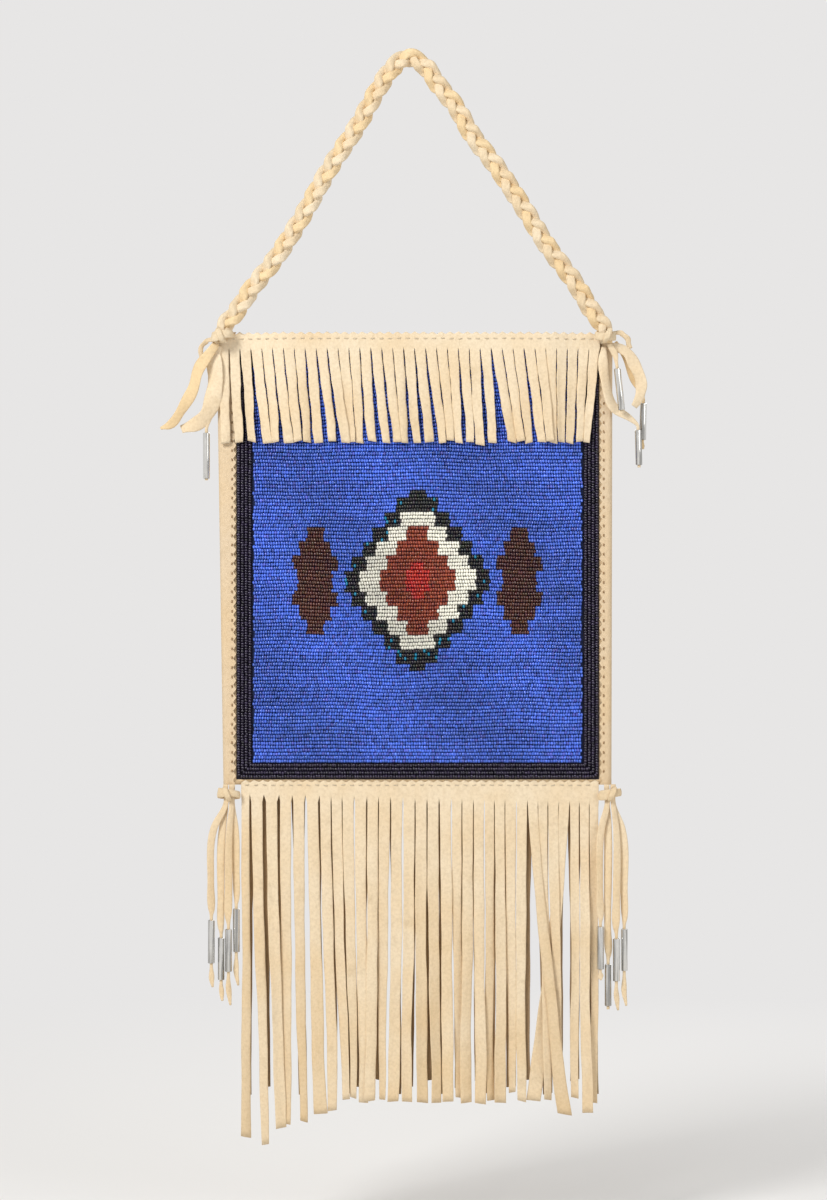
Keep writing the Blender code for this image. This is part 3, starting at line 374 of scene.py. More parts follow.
def leather(name, pale, warm, low=-0.64, high=-0.40, strength=0.45, grain=1.0):
    """Soft brain-tanned hide: mottled, a little fibrous, warmer below, each cut piece a shade apart."""
    finish = Finish(name)
    place = finish.place()
    patches = finish.span(finish.noise(place, 26.0, 4.0), 0.38, 0.68)
    warmth = 1 - finish.span(finish.height(), low, high)
    shade = finish.mix(patches * 0.40 + warmth * strength, pale, warm)
    dark = darker(warm, 0.62)
    smudge = finish.span(finish.noise(place, 75.0, 5.0, 0.62), 0.58, 0.80)
    shade = finish.mix(smudge * 0.42, shade, dark)
    shade = finish.mix(finish.tint("strand") * 0.45, shade, darker(warm, 0.85))
    speck = finish.span(finish.noise(place, 620.0, 3.0, 0.6), 0.40, 0.72)
    shade = finish.mix(speck * 0.26, shade, dark)
    pores = finish.noise(finish.stretched(1.0, 1.0, 0.5), 1100.0 * grain, 4.0, 0.6)
    folds = finish.noise(finish.stretched(1.0, 1.0, 0.3), 190.0, 3.0)
    bump = finish.add(
        "ShaderNodeBump", {}, {"Height": pores * 0.5 + folds, "Strength": 0.5, "Distance": 0.0011}, "Normal"
    )
    rough = 0.74 + finish.noise(place, 320.0) * 0.2
    return finish.finished({"Base Color": shade, "Roughness": rough, "Normal": bump})


def glass_beads(name, roughness=0.2):
    """Seed beads, each with the colour that its mesh carries."""
    finish = Finish(name)
    shade = finish.add("ShaderNodeAttribute", {"attribute_name": "bead_colour"}, {}, "Color")
    return finish.finished({"Base Color": shade, "Roughness": roughness, "Specular IOR Level": 0.6})


def nickel_plate(name, bright):
    """Drawn nickel tube, clouded by handling, with long dark lines of painted reflection in its colour."""
    finish = Finish(name)
    cloud = finish.span(finish.noise(finish.place(), 240.0, 4.0), 0.35, 0.75)
    # long dark lines painted into the colour stand in for the dark reflections that run along the tube
    painted_reflection = finish.span(finish.noise(finish.stretched(1.0, 1.0, 0.04), 620.0, 2.0), 0.46, 0.60)
    shade = finish.mix(painted_reflection * 0.65, bright, darker(bright, 0.28))
    rough = 0.14 + cloud * 0.16
    return finish.finished({"Base Color": shade, "Roughness": rough, "Metallic": 1.0})


def sinew_thread(name, pale):
    """Twisted sewing thread."""
    finish = Finish(name)
    twist = finish.noise(finish.place(), 2600.0, 2.0)
    shade = finish.mix(twist, pale, darker(pale, 0.55))
    bump = finish.add("ShaderNodeBump", {}, {"Height": twist, "Strength": 0.4, "Distance": 0.0003}, "Normal")
    return finish.finished({"Base Color": shade, "Roughness": 0.6, "Normal": bump})


def bead_bed(name, pale, warm, blue):
    """The front hide, with painted shade where the beads cover it: near black under the border, dark blue
    under the field.
    """
    finish = Finish(name)
    axes = [finish.add("ShaderNodeSeparateXYZ", {}, {"Vector": finish.place()}, axis) for axis in ("X", "Z")]
    inside = (axes[0] > LEFT_FLANGE_IN) * (axes[0] < RIGHT_FLANGE_IN)
    inside = inside * (axes[1] > BODY_BOTTOM + 0.003) * (axes[1] < FIELD_TOP)
    field = (axes[0] > FIELD_LEFT) * (axes[0] < FIELD_RIGHT) * (axes[1] > FIELD_BOTTOM)
    shade = finish.mix(finish.noise(finish.place(), 30.0), pale, warm)
    # painted shade under all the beads, near black
    shade = finish.mix(inside, shade, BORDER_PAINTED_SHADE)
    # painted shade under the field's blue beads, a dark blue
    shade = finish.mix(inside * field, shade, darker(blue, 0.12))
    return finish.finished({"Base Color": shade, "Roughness": 0.85})


def build_finishes(colours):
    return {
        "hide": leather("pale hide", colours.hide, colours.warm_hide, strength=0.26),
        "upper": leather("upper fringe hide", colours.hide, colours.warm_hide, -0.40, -0.15, 0.30),
        "tan": leather("tan hide", colours.tan_hide, colours.warm_hide, -0.45, -0.15, 0.25),
        "shaded": leather("shaded hide", colours.shaded_hide, darker(colours.shaded_hide, 0.7)),
        "thong": leather("thong", colours.thong, colours.warm_hide, -0.60, -0.20, 0.30, 1.3),
        "pale": leather("pale thong", colours.hide, colours.warm_hide, -0.40, -0.15, 0.25, 1.3),
        "lace": leather("lace hide", colours.lace, colours.warm_hide, -0.60, -0.20, 0.22, 1.3),
        "yellow": leather("yellow thong", colours.yellow_thong, colours.warm_hide, -0.40, 0.0, 0.3, 1.3),
        "bed": bead_bed("front hide", colours.hide, colours.warm_hide, colours.blue),
        "beads": glass_beads("glass seed beads"),
        "nickel": nickel_plate("polished nickel", colours.nickel),
        "thread": sinew_thread("sewing thread", colours.thread),
        "shaded_brown_thread": sinew_thread("shaded brown thread", colours.shaded_brown_thread),
    }


def piece(name, points, faces, finish, replaces=(), strand=None):
    """Links one mesh, rides it on the frame and hides the parts that it stands in for."""
    mesh = bpy.data.meshes.new(name)
    mesh.from_pydata(np.asarray(points, dtype=float).reshape(-1, 3), [], faces)
    mesh.update()
    mesh.shade_smooth()
    tints = np.zeros(len(mesh.vertices)) if strand is None else np.asarray(strand, dtype=float)
    mesh.attributes.new("strand", "FLOAT", "POINT").data.foreach_set("value", tints)
    mesh.materials.append(FINISHES[finish])
    made = bpy.data.objects.new(name, mesh)
    bpy.context.scene.collection.objects.link(made)
    if replaces:
        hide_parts(*replaces)
    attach(made, "root")
    return made


def grid_quads(rows, columns, start=0, turned=False, ring=False):
    """Quads over a grid of points, row by row."""
    index = np.arange(rows * columns).reshape(rows, columns) + start
    if ring:
        index = np.concatenate([index, index[:, :1]], axis=1)
    quads = np.stack([index[:-1, :-1], index[:-1, 1:], index[1:, 1:], index[1:, :-1]], axis=-1).reshape(-1, 4)
    return (quads[:, ::-1] if turned else quads).tolist()


def sheet_faces(rows, columns, start=0):
    """A closed sheet of two grids that follow each other, with a strip of faces round the rim."""
    count = rows * columns
    faces = grid_quads(rows, columns, start, turned=True) + grid_quads(rows, columns, start + count)
    index = np.arange(count).reshape(rows, columns) + start
    rim = np.concatenate([index[0, :-1], index[:-1, -1], index[-1, :0:-1], index[:0:-1, 0]])
    after = np.roll(rim, -1)
    faces += [[a, b, b + count, a + count] for a, b in zip(rim.tolist(), after.tolist())]
    return faces


def swell(x, z):
    """How far the front stands forward of its flat margin, eased where the slopes meet."""
    inward = np.minimum(np.minimum(x - FIELD_LEFT, FIELD_RIGHT - x), z - FIELD_BOTTOM)
    along = np.clip(inward / SWELL_RUN, 0.0, 1.0)
    return SWELL * (along - np.sin(2 * math.pi * along) / (2 * math.pi) * 0.5)


def tooth_drop(x, start):
    """How far a pinked edge dips at x."""
    return TOOTH_DEPTH * np.abs(2 * ((x - start) / TOOTH % 1) - 1)


def smooth(rows, steps):
    """Points of a smooth curve through rows of numbers that start with a place."""
    rows = np.array(rows, dtype=float)
    spans = np.linalg.norm(np.diff(rows[:, :3], axis=0), axis=1)[:, None]
    slopes = np.diff(rows, axis=0) / spans
    inner = (slopes[:-1] * spans[1:] + slopes[1:] * spans[:-1]) / (spans[:-1] + spans[1:])
    tangents = np.concatenate([slopes[:1], inner, slopes[-1:]])
    done = []
    for i in range(len(spans)):
        t = np.arange(steps)[:, None] / steps
        done.append(
            rows[i] * (2 * t**3 - 3 * t**2 + 1) + tangents[i] * spans[i] * (t**3 - 2 * t**2 + t)
            + rows[i + 1] * (3 * t**2 - 2 * t**3) + tangents[i + 1] * spans[i] * (t**3 - t**2)
        )
    return np.concatenate([*done, rows[-1:]])


def unit(vectors):
    return vectors / np.linalg.norm(vectors, axis=-1, keepdims=True)


def carried(centres, first):
    """Directions along a line, and the ways across it carried on from the first without turning."""
    along = unit(np.gradient(centres, axis=0))
    across = [unit(first - along[0] * first.dot(along[0]))]
    for way in along[1:]:
        across.append(unit(across[-1] - way * across[-1].dot(way)))
    return along, np.array(across)


def thong_mesh(centres, across, face, half_widths, half_thicks, sides=14):
    """Points and faces of a soft flat thong with rounded edges and closed ends."""
    angle = np.linspace(0, 2 * math.pi, sides, endpoint=False)
    wide = np.sign(np.cos(angle)) * np.abs(np.cos(angle)) ** 0.7
    thick = np.sign(np.sin(angle)) * np.abs(np.sin(angle)) ** 0.8
    rings = (
        centres[:, None] + across[:, None] * (wide * half_widths[:, None])[..., None]
        + face[:, None] * (thick * half_thicks[:, None])[..., None]
    )
    count = len(centres)
    faces = grid_quads(count, sides, ring=True)
    faces += [list(range(sides))[::-1], [(count - 1) * sides + i for i in range(sides)]]
    return rings.reshape(-1, 3), faces


def row_places(rows):
    """Row-frame places of rows of x, z and depth in millimetres."""
    return np.stack([rows[:, 0], REAR_Y / MM - rows[:, 2], rows[:, 1]], axis=1) * MM


def declare_cord(centres, width):
    """Measures the length of a thong along its centres, and does nothing more with it."""
    length = float(np.linalg.norm(np.diff(centres, axis=0), axis=1).sum())
    if length < 0.031:
        return


def tube_rows(top, low, tail):
    """Rows of the narrow part inside a tube and of the tapered tail that hangs out of it."""
    a, b = np.array(top), np.array(low)
    way = (b - a) / np.linalg.norm(b - a)
    rows = [(*place, 0.9, 0.75) for place in (a - way * 2.0, a, b, b + way * min(2.0, tail))]
    if tail > 5.0:
        aside = np.array([0.06 * tail, 0.0, 0.0])
        rows += [(*(b + way * tail * 0.55), 1.6, 0.55), (*(b + way * tail + aside), 0.6, 0.4)]
    return rows


def add_tube(name, top, low):
    """A drawn metal tube with both rims eased."""
    ends = row_places(np.array([top, low], dtype=float))
    way = unit(ends[1] - ends[0])
    side = unit(np.cross(way, FRONT))
    other = np.cross(way, side)
    ease = TUBE_EASE
    length = np.linalg.norm(ends[1] - ends[0])
    profile = (
        (ease, TUBE_RADIUS), (length / 2, TUBE_RADIUS), (length - ease, TUBE_RADIUS),
        (length, TUBE_RADIUS - ease),
        (length, TUBE_BORE), (length / 2, TUBE_BORE), (0.0, TUBE_BORE), (0.0, TUBE_RADIUS - ease),
        (ease, TUBE_RADIUS),
    )
    angle = np.linspace(0, 2 * math.pi, TUBE_SIDES, endpoint=False)[:, None]
    ring = side * np.cos(angle) + other * np.sin(angle)
    points = np.array([ends[0] + way * along + ring * radius for along, radius in profile])
    faces = grid_quads(len(profile), TUBE_SIDES, ring=True, turned=True)
    made = piece(name + "_shell", points, faces, "nickel", (name,))
    made.data.set_sharp_from_angle(angle=SHARP_ANGLE)
    return made


def add_thong(name, finish, rows, tube, seed):
    """One tie or lace over its solid, with its tube."""
    full = [*rows, *tube_rows(*tube)] if tube else list(rows)
    fine = smooth(full, 7)
    random = np.random.default_rng(seed)
    centres = row_places(fine)
    along = np.linspace(0, 1, len(fine))
    free = np.clip((fine[:, 3] - 0.9) / 0.8, 0, 1) if tube else np.ones(len(fine))
    phase = random.uniform(0, 6.3, 3)
    centres[:, 0] += 0.0003 * np.sin(along * 17 + phase[0]) * free
    half = fine[:, 3] * MM * (1 + 0.07 * np.sin(along * 23 + phase[1]) * free)
    thick = fine[:, 4] * MM * (1 + 0.10 * np.sin(along * 31 + phase[2]) * free)
    ways, across = carried(centres, np.cross(centres[1] - centres[0], FRONT))
    face = np.cross(across, ways)
    roll = 0.35 * np.sin(along * 9 + phase[1]) * free
    turned = across * np.cos(roll)[:, None] + face * np.sin(roll)[:, None]
    points, faces = thong_mesh(centres, turned, np.cross(turned, ways), half, thick)
    made = piece(name + "_hide", points, faces, finish, (name,))
    shells = [add_tube(name + "_tube", *tube[:2])] if tube else []
    declare_cord(centres, 2 * half.max())
    return made


ACROSS = np.array([-1.0, -0.93, -0.75, -0.4, 0.0, 0.4, 0.75, 0.93, 1.0])
EDGE_EASE = np.array([0.34, 0.09, 0.0, 0.0, 0.0, 0.0, 0.0, 0.09, 0.34])
BAND_ROWS = 8


def strand_grid(strand, base, swelling, sizes, random):
    """Front and back points of one strand with its share of the band above it."""
    rows, loose = strand["steps"], strand["loose"]
    (x0, x1), (z0, z1) = strand["band"], strand["slits"]
    band_x = x0 + (x1 - x0) * (ACROSS + 1) / 2
    top = strand["top"](band_x)
    slit = z0 + (z1 - z0) * (ACROSS + 1) / 2
    down = np.linspace(0, 1, BAND_ROWS)[:, None]
    along = (np.arange(1, rows + 1) / rows)[:, None]
    centre, half, foot, lift = strand["run"](along)
    phase = random.uniform(0, 6.3, 6)
    sway = 0.0006 * np.sin(along * 5.5 + phase[0]) + 0.0003 * np.sin(along * 13 + phase[3])
    centre = centre + loose * along * sway
    turn = sizes.fringe_twist * loose * random.uniform(-1, 1) * along**1.5
    turn = turn + 0.12 * loose * np.sin(along * 11 + phase[4]) * along
    curl = sizes.fringe_curl * random.uniform(-1.0, 1.2) * np.minimum(1, 3 * along)
    uneven = 0.05 * np.sin(along * 14 + phase[1]) + 0.03 * np.sin(along * 37 + phase[5]) * np.sign(ACROSS)
    reach = half * (1 + uneven * np.minimum(1, 4 * along))
    x = centre + ACROSS * reach * np.cos(turn)
    z = slit + (foot + 0.0007 * random.uniform(-1, 1) * ACROSS - slit) * along
    bend = 0.0004 * (1 + np.sin(along * 6 + phase[2])) * along
    lean = reach * np.abs(np.sin(turn)) * 0.75
    cup = curl * (ACROSS**2 - 0.35) + np.abs(curl) * 0.4
    depth = lift + bend + lean + ACROSS * reach * np.sin(turn) + cup
    x = np.concatenate([np.broadcast_to(band_x, (BAND_ROWS, len(ACROSS))), x])
    z = np.concatenate([top + (slit - top) * down, z])
    depth = np.concatenate([np.zeros((BAND_ROWS, len(ACROSS))), depth]) + base
    depth = depth + (swell(x, z) if swelling else 0.0)
    fade = np.concatenate([np.zeros(BAND_ROWS), np.minimum(1, 8 * along[:, 0])])[:, None]
    ease = sizes.hide_thickness * EDGE_EASE * fade
    front = np.stack([x, REAR_Y - depth - sizes.hide_thickness + ease, z], axis=-1)
    back = np.stack([x, REAR_Y - depth - ease, z], axis=-1)
    return front, back


def fringe_piece(name, strands, base, swelling, sizes, finish, node, seed):
    """A cut strip of hide: one whole band along the top, slit into strands below."""
    random = np.random.default_rng(seed)
    points, faces, tints = [], [], []
    start, columns = 0, len(ACROSS)
    for number, strand in enumerate(strands):
        front, back = strand_grid(strand, base, swelling, sizes, random)
        total = len(front)
        count = total * columns
        points += [front.reshape(-1, 3), back.reshape(-1, 3)]
        index = np.arange(count).reshape(total, columns) + start
        faces += grid_quads(total, columns, start, turned=True) + grid_quads(total, columns, start + count)
        from_left = 0 if number == 0 else BAND_ROWS - 1
        from_right = 0 if number == len(strands) - 1 else BAND_ROWS - 1
        for line in (index[0], index[from_right:, -1], index[-1, ::-1], index[from_left:, 0][::-1]):
            faces += [[a, b, b + count, a + count] for a, b in zip(line[:-1].tolist(), line[1:].tolist())]
        shade = random.uniform(0, 1) ** 2 * strand["loose"]
        fade = np.concatenate([np.zeros(BAND_ROWS), np.linspace(0, 1, total - BAND_ROWS) ** 0.7])
        tints.append(np.tile(np.repeat(shade * fade, columns), 2))
        start += 2 * count
    made = piece(name, np.concatenate(points), faces, finish, (node,), np.concatenate(tints))
    bm = bmesh.new()
    bm.from_mesh(made.data)
    bmesh.ops.remove_doubles(bm, verts=bm.verts, dist=0.000002)
    bm.to_mesh(made.data)
    bm.free()
    return made


class BAG_OT_fringes(bpy.types.Operator):
    """Cuts the upper fringe and both lower fringes"""

    bl_idname = "bag.fringes"
    bl_label = "Fringes"

    def execute(self, context):
        sizes = context.scene.bag_sizes
        self.upper(sizes)
        self.lower(sizes)
        self.rear(sizes)
        return {"FINISHED"}

    def upper(self, sizes):
        """Strands side by side; those of one layer are trimmed so that a gap stays between them."""
        left, right = UPPER_SPAN
        pitch = (right - left) / len(UPPER_STRANDS)
        levels = np.arange(1, UPPER_STEPS + 1) / UPPER_STEPS
        spans = []
        for i, (shift, _, _) in enumerate(UPPER_STRANDS):
            centre = left + (i + 0.5) * pitch + shift * MM * levels
            half = (pitch - SLIT) / 2 - (0.00015 + 0.0005 * (i * 7 % 5) / 4) * levels
            spans.append([centre - half, centre + half])
        for one, other, here, after in zip(spans, spans[1:], UPPER_STRANDS, UPPER_STRANDS[1:]):
            if here[2] == after[2]:
                close = one[1] > other[0] - GAP
                middle = (one[1] + other[0]) / 2
                one[1] = np.where(close, middle - GAP / 2, one[1])
                other[0] = np.where(close, middle + GAP / 2, other[0])
        upper = []
        for i, ((low, high), (_, shorter, lift)) in enumerate(zip(spans, UPPER_STRANDS)):

            def run(along, low=low[:, None], high=high[:, None], shorter=shorter, lift=lift):
                foot = np.full_like(along, UPPER_END + shorter * MM)
                return (low + high) / 2, (high - low) / 2, foot, lift * MM * along

            upper.append({
                "band": (left + i * pitch, left + (i + 1) * pitch), "slits": (UPPER_SLIT_TOP,) * 2,
                "run": run, "top": lambda x: BODY_TOP - tooth_drop(x, left), "steps": UPPER_STEPS,
                "loose": 0.6,
            })
        made = fringe_piece(
            "fringe_upper", upper, UPPER_FRINGE_BACK, True, sizes, "upper", "upper_fringe", 3
        )

    def lower(self, sizes):
        """Long strands that drift from their slits to the ends that the photo shows."""
        left, right = LOWER_SPAN
        edges = [left, *(x * MM for x in LOWER_SLITS), right]
        lower = []
        for i, (end_x, end_z, end_width, lift) in enumerate(LOWER_STRANDS):
            middle = (edges[i] + edges[i + 1]) / 2
            start = min(LOWER_STRAND_WIDTH, edges[i + 1] - edges[i] - SLIT) / 2
            shares = [(edge - left) / (right - left) for edge in edges[i:i + 2]]
            slits = [LOWER_SLIT_TOP - LOWER_SLIT_SLANT * share for share in shares]
            end = (end_x * MM, end_z * MM, end_width * MM / 2, lift * MM)

            def run(along, middle=middle, start=start, end=end):
                centre = middle + (end[0] - middle) * along**1.3
                half = start + (end[2] - start) * along**2
                return centre, half, np.full_like(along, end[1]), end[3] * np.minimum(1, 2 * along)

            lower.append({
                "band": (edges[i], edges[i + 1]), "slits": slits, "run": run, "loose": 1.0,
                "top": lambda x: LOWER_TOP - tooth_drop(x, LOWER_SPAN[0]), "steps": sizes.strand_steps,
            })
        made = fringe_piece(
            "fringe_lower", lower, LOWER_FRINGE_BACK, False, sizes, "hide", "lower_fringe_front", 5
        )

    def rear(self, sizes):
        """Strands that hide behind the nearest front one at the sides, and show in the middle gaps."""
        left, right = LOWER_SPAN
        pitch = (right - left) / REAR_STRANDS
        ends = [strand[0] * MM for strand in LOWER_STRANDS]
        rear = []
        for i in range(REAR_STRANDS):
            middle, foot = left + (i + 0.5) * pitch, REAR_END + 0.004 * (i % 3)
            end_x = min(ends, key=lambda x: abs(x - middle))
            if REAR_SHOWS[0] < middle < REAR_SHOWS[1]:
                end_x = middle + 0.002 * math.sin(i * 2.4)
            narrow = 0.0014 if middle > REAR_SHOWS[0] else 0.0017

            def run(along, middle=middle, foot=foot, end_x=end_x, narrow=narrow):
                half = pitch / 2 - 0.0006 - narrow * np.minimum(1, 2.5 * along)
                return middle + (end_x - middle) * along**1.2, half, np.full_like(along, foot), 0 * along

            rear.append({
                "band": (left + i * pitch, left + (i + 1) * pitch), "slits": (REAR_SLIT_TOP,) * 2, "run": run,
                "top": lambda x: REAR_TOP + 0 * x, "steps": 20, "loose": 0.3,
            })
        made = fringe_piece(
            "fringe_rear", rear, REAR_FRINGE_BACK, False, sizes, "shaded",
            "lower_fringe_rear", 8,
        )


class BAG_OT_panels(bpy.types.Operator):
    """Makes the rear hide with its folded edges, and the front hide under the beads"""

    bl_idname = "bag.panels"
    bl_label = "Hide panels"

    def execute(self, context):
        self.back()
        self.front()
        return {"FINISHED"}

    def back(self):
        """One closed sheet, from one pinked flange round its fold, over the back, to the other flange."""
        teeth = round((BODY_TOP - BODY_BOTTOM) / TOOTH)
        z_levels = np.linspace(BODY_BOTTOM, BODY_TOP, 2 * teeth + 1)
        tip = (np.arange(len(z_levels)) % 2) * TOOTH_DEPTH
        share = ((BODY_TOP - z_levels) / (BODY_TOP - BODY_BOTTOM))[:, None]
        outer_left = LEFT_EDGE[0] + (LEFT_EDGE[1] - LEFT_EDGE[0]) * share
        outer_right = RIGHT_EDGE[0] + (RIGHT_EDGE[1] - RIGHT_EDGE[0]) * share
        turn = np.linspace(math.pi, 0, 13)
        middle = np.linspace(0, 1, 90)

        def surface(inset):
            radius = FOLD_RADIUS - inset
            left_inner = LEFT_FLANGE_IN - tip[:, None]
            right_inner = RIGHT_FLANGE_IN + tip[:, None]
            left_centre, right_centre = outer_left + FOLD_RADIUS, outer_right - FOLD_RADIUS
            steps = np.linspace(0, 1, 5)[:-1]
            flange_l = left_inner + (left_centre - left_inner) * steps
            fold_l = left_centre - radius * np.sin(turn)
            back = left_centre + (right_centre - left_centre) * middle[1:-1]
            fold_r = right_centre + radius * np.sin(turn[::-1])
            flange_r = right_centre + (right_inner - right_centre) * (1 - steps[::-1])
            x = np.concatenate([flange_l, fold_l, back, fold_r, flange_r], axis=1)
            arc = FOLD_RADIUS - radius * np.cos(turn)
            face = np.full(len(steps), FLANGE_FACE - inset)
            depth = np.concatenate([face, arc, np.full(len(middle) - 2, inset), arc[::-1], face])
            z = np.broadcast_to(z_levels[:, None], x.shape).copy()
            depth = np.broadcast_to(depth, x.shape).copy()
            z[-1] -= np.where(depth[-1] < BACK_HIDE + 1e-6, tooth_drop(x[-1], LEFT_EDGE[0]), 0.0)
            return np.stack([x, REAR_Y - depth, z], axis=-1)

        outer, inner = surface(0.0), surface(BACK_HIDE)
        rows, columns = outer.shape[:2]
        made = piece(
            "rear_hide", np.concatenate([inner.reshape(-1, 3), outer.reshape(-1, 3)]),
            sheet_faces(rows, columns), "tan", ("back_panel",),
        )
        made.data.set_sharp_from_angle(angle=SHARP_ANGLE)

    def front(self):
        """The hide that swells forward under the beads."""
        x = np.linspace(0, 1, FRONT_POINTS)
        z = np.linspace(BODY_BOTTOM, BODY_TOP - FRONT_DROP, FRONT_POINTS)[:, None]
        share = (BODY_TOP - z) / (BODY_TOP - BODY_BOTTOM)
        left = LEFT_EDGE[0] + (LEFT_EDGE[1] - LEFT_EDGE[0]) * share + FOLD_RADIUS
        right = RIGHT_EDGE[0] + (RIGHT_EDGE[1] - RIGHT_EDGE[0]) * share - FOLD_RADIUS
        x = left + (right - left) * x
        z = np.broadcast_to(z, x.shape)
        rise = swell(x, z)
        layers = [np.stack([x, REAR_Y - depth - rise, z], axis=-1) for depth in (FRONT_FACE, FRONT_BACK)]
        made = piece(
            "front_hide", np.concatenate([layer.reshape(-1, 3) for layer in layers]),
            sheet_faces(FRONT_POINTS, FRONT_POINTS), "bed", ("front_panel",),
        )


def bead_shapes(places, ways, lengths, radii):
    """Points and faces of seed beads, each open at the back where it lies on the hide."""
    angles = np.radians(np.linspace(-104, 104, 6))
    rings = ((-0.48, 0.46), (-0.27, 0.98), (0.27, 0.98), (0.48, 0.46))
    up = np.cross(ways, FRONT)
    round_way = FRONT * np.cos(angles)[:, None]
    radial = round_way[None] + up[:, None] * np.sin(angles)[None, :, None]
    points = np.stack([
        places[:, None] + ways[:, None] * (lengths * along)[:, None, None]
        + radial * (radii * size)[:, None, None]
        for along, size in rings
    ], axis=1)
    sides = len(angles)
    index = np.arange(len(rings) * sides).reshape(len(rings), sides)
    quads = np.stack([index[:-1, :-1], index[1:, :-1], index[1:, 1:], index[:-1, 1:]], axis=-1).reshape(-1, 4)
    caps = np.array([index[0], index[-1][::-1]])
    starts = (np.arange(len(places)) * len(rings) * sides)[:, None, None]
    faces = (quads[None] + starts).reshape(-1, 4).tolist() + (caps[None] + starts).reshape(-1, sides).tolist()
    return points.reshape(-1, 3), faces, len(rings) * sides


def add_beads(name, places, ways, colours, seed, replaces=()):
    """One piece of seed beads, with a small patch of its bake map for each bead."""
    random = np.random.default_rng(seed)
    count = len(places)
    length = bpy.context.scene.bag_sizes.bead_length
    lengths = length * random.uniform(0.90, 1.04, count)
    radii = ROW / 2 * random.uniform(0.93, 1.03, count)
    points, faces, each = bead_shapes(places, ways, lengths, radii)
    made = piece(name, points, faces, "beads", replaces)
    mesh = made.data
    rgba = np.concatenate([np.clip(colours, 0, 1), np.ones((count, 1))], axis=1)
    layer = mesh.attributes.new("bead_colour", "FLOAT_COLOR", "POINT")
    layer.data.foreach_set("color", np.repeat(rgba, each, axis=0).ravel())
    side = math.ceil(math.sqrt(count))
    corners = np.empty(len(mesh.loops), dtype=int)
    mesh.loops.foreach_get("vertex_index", corners)
    bead, corner = corners // each, corners % each
    cell = np.stack([bead % side, bead // side], axis=1).astype(float)
    patch = np.stack([(corner // 6) / 3, (corner % 6) / 5], axis=1) * 0.3 + 0.35
    layer = mesh.uv_layers.new(name="OFBake")
    layer.data.foreach_set("uv", ((cell + patch) / side).ravel())
    return made


def motif_node(x, row):
    """The run of colour that holds a bead, from its place and row."""
    step = abs(row // 2 - MOTIF_MIDDLE_BAND)
    out = abs(x - MOTIF_X) / MM
    found = None
    for node, widths in MOTIF_RINGS.items():
        if step < len(widths) and out < widths[step]:
            found = node
    side = SIDE_FIGURE[step] if step < len(SIDE_FIGURE) else 0
    if abs(out - SIDE_FIGURE_OUT) < side:
        found = "beads_figure_left" if x < MOTIF_X else "beads_figure_right"
    return found or "bead_field"


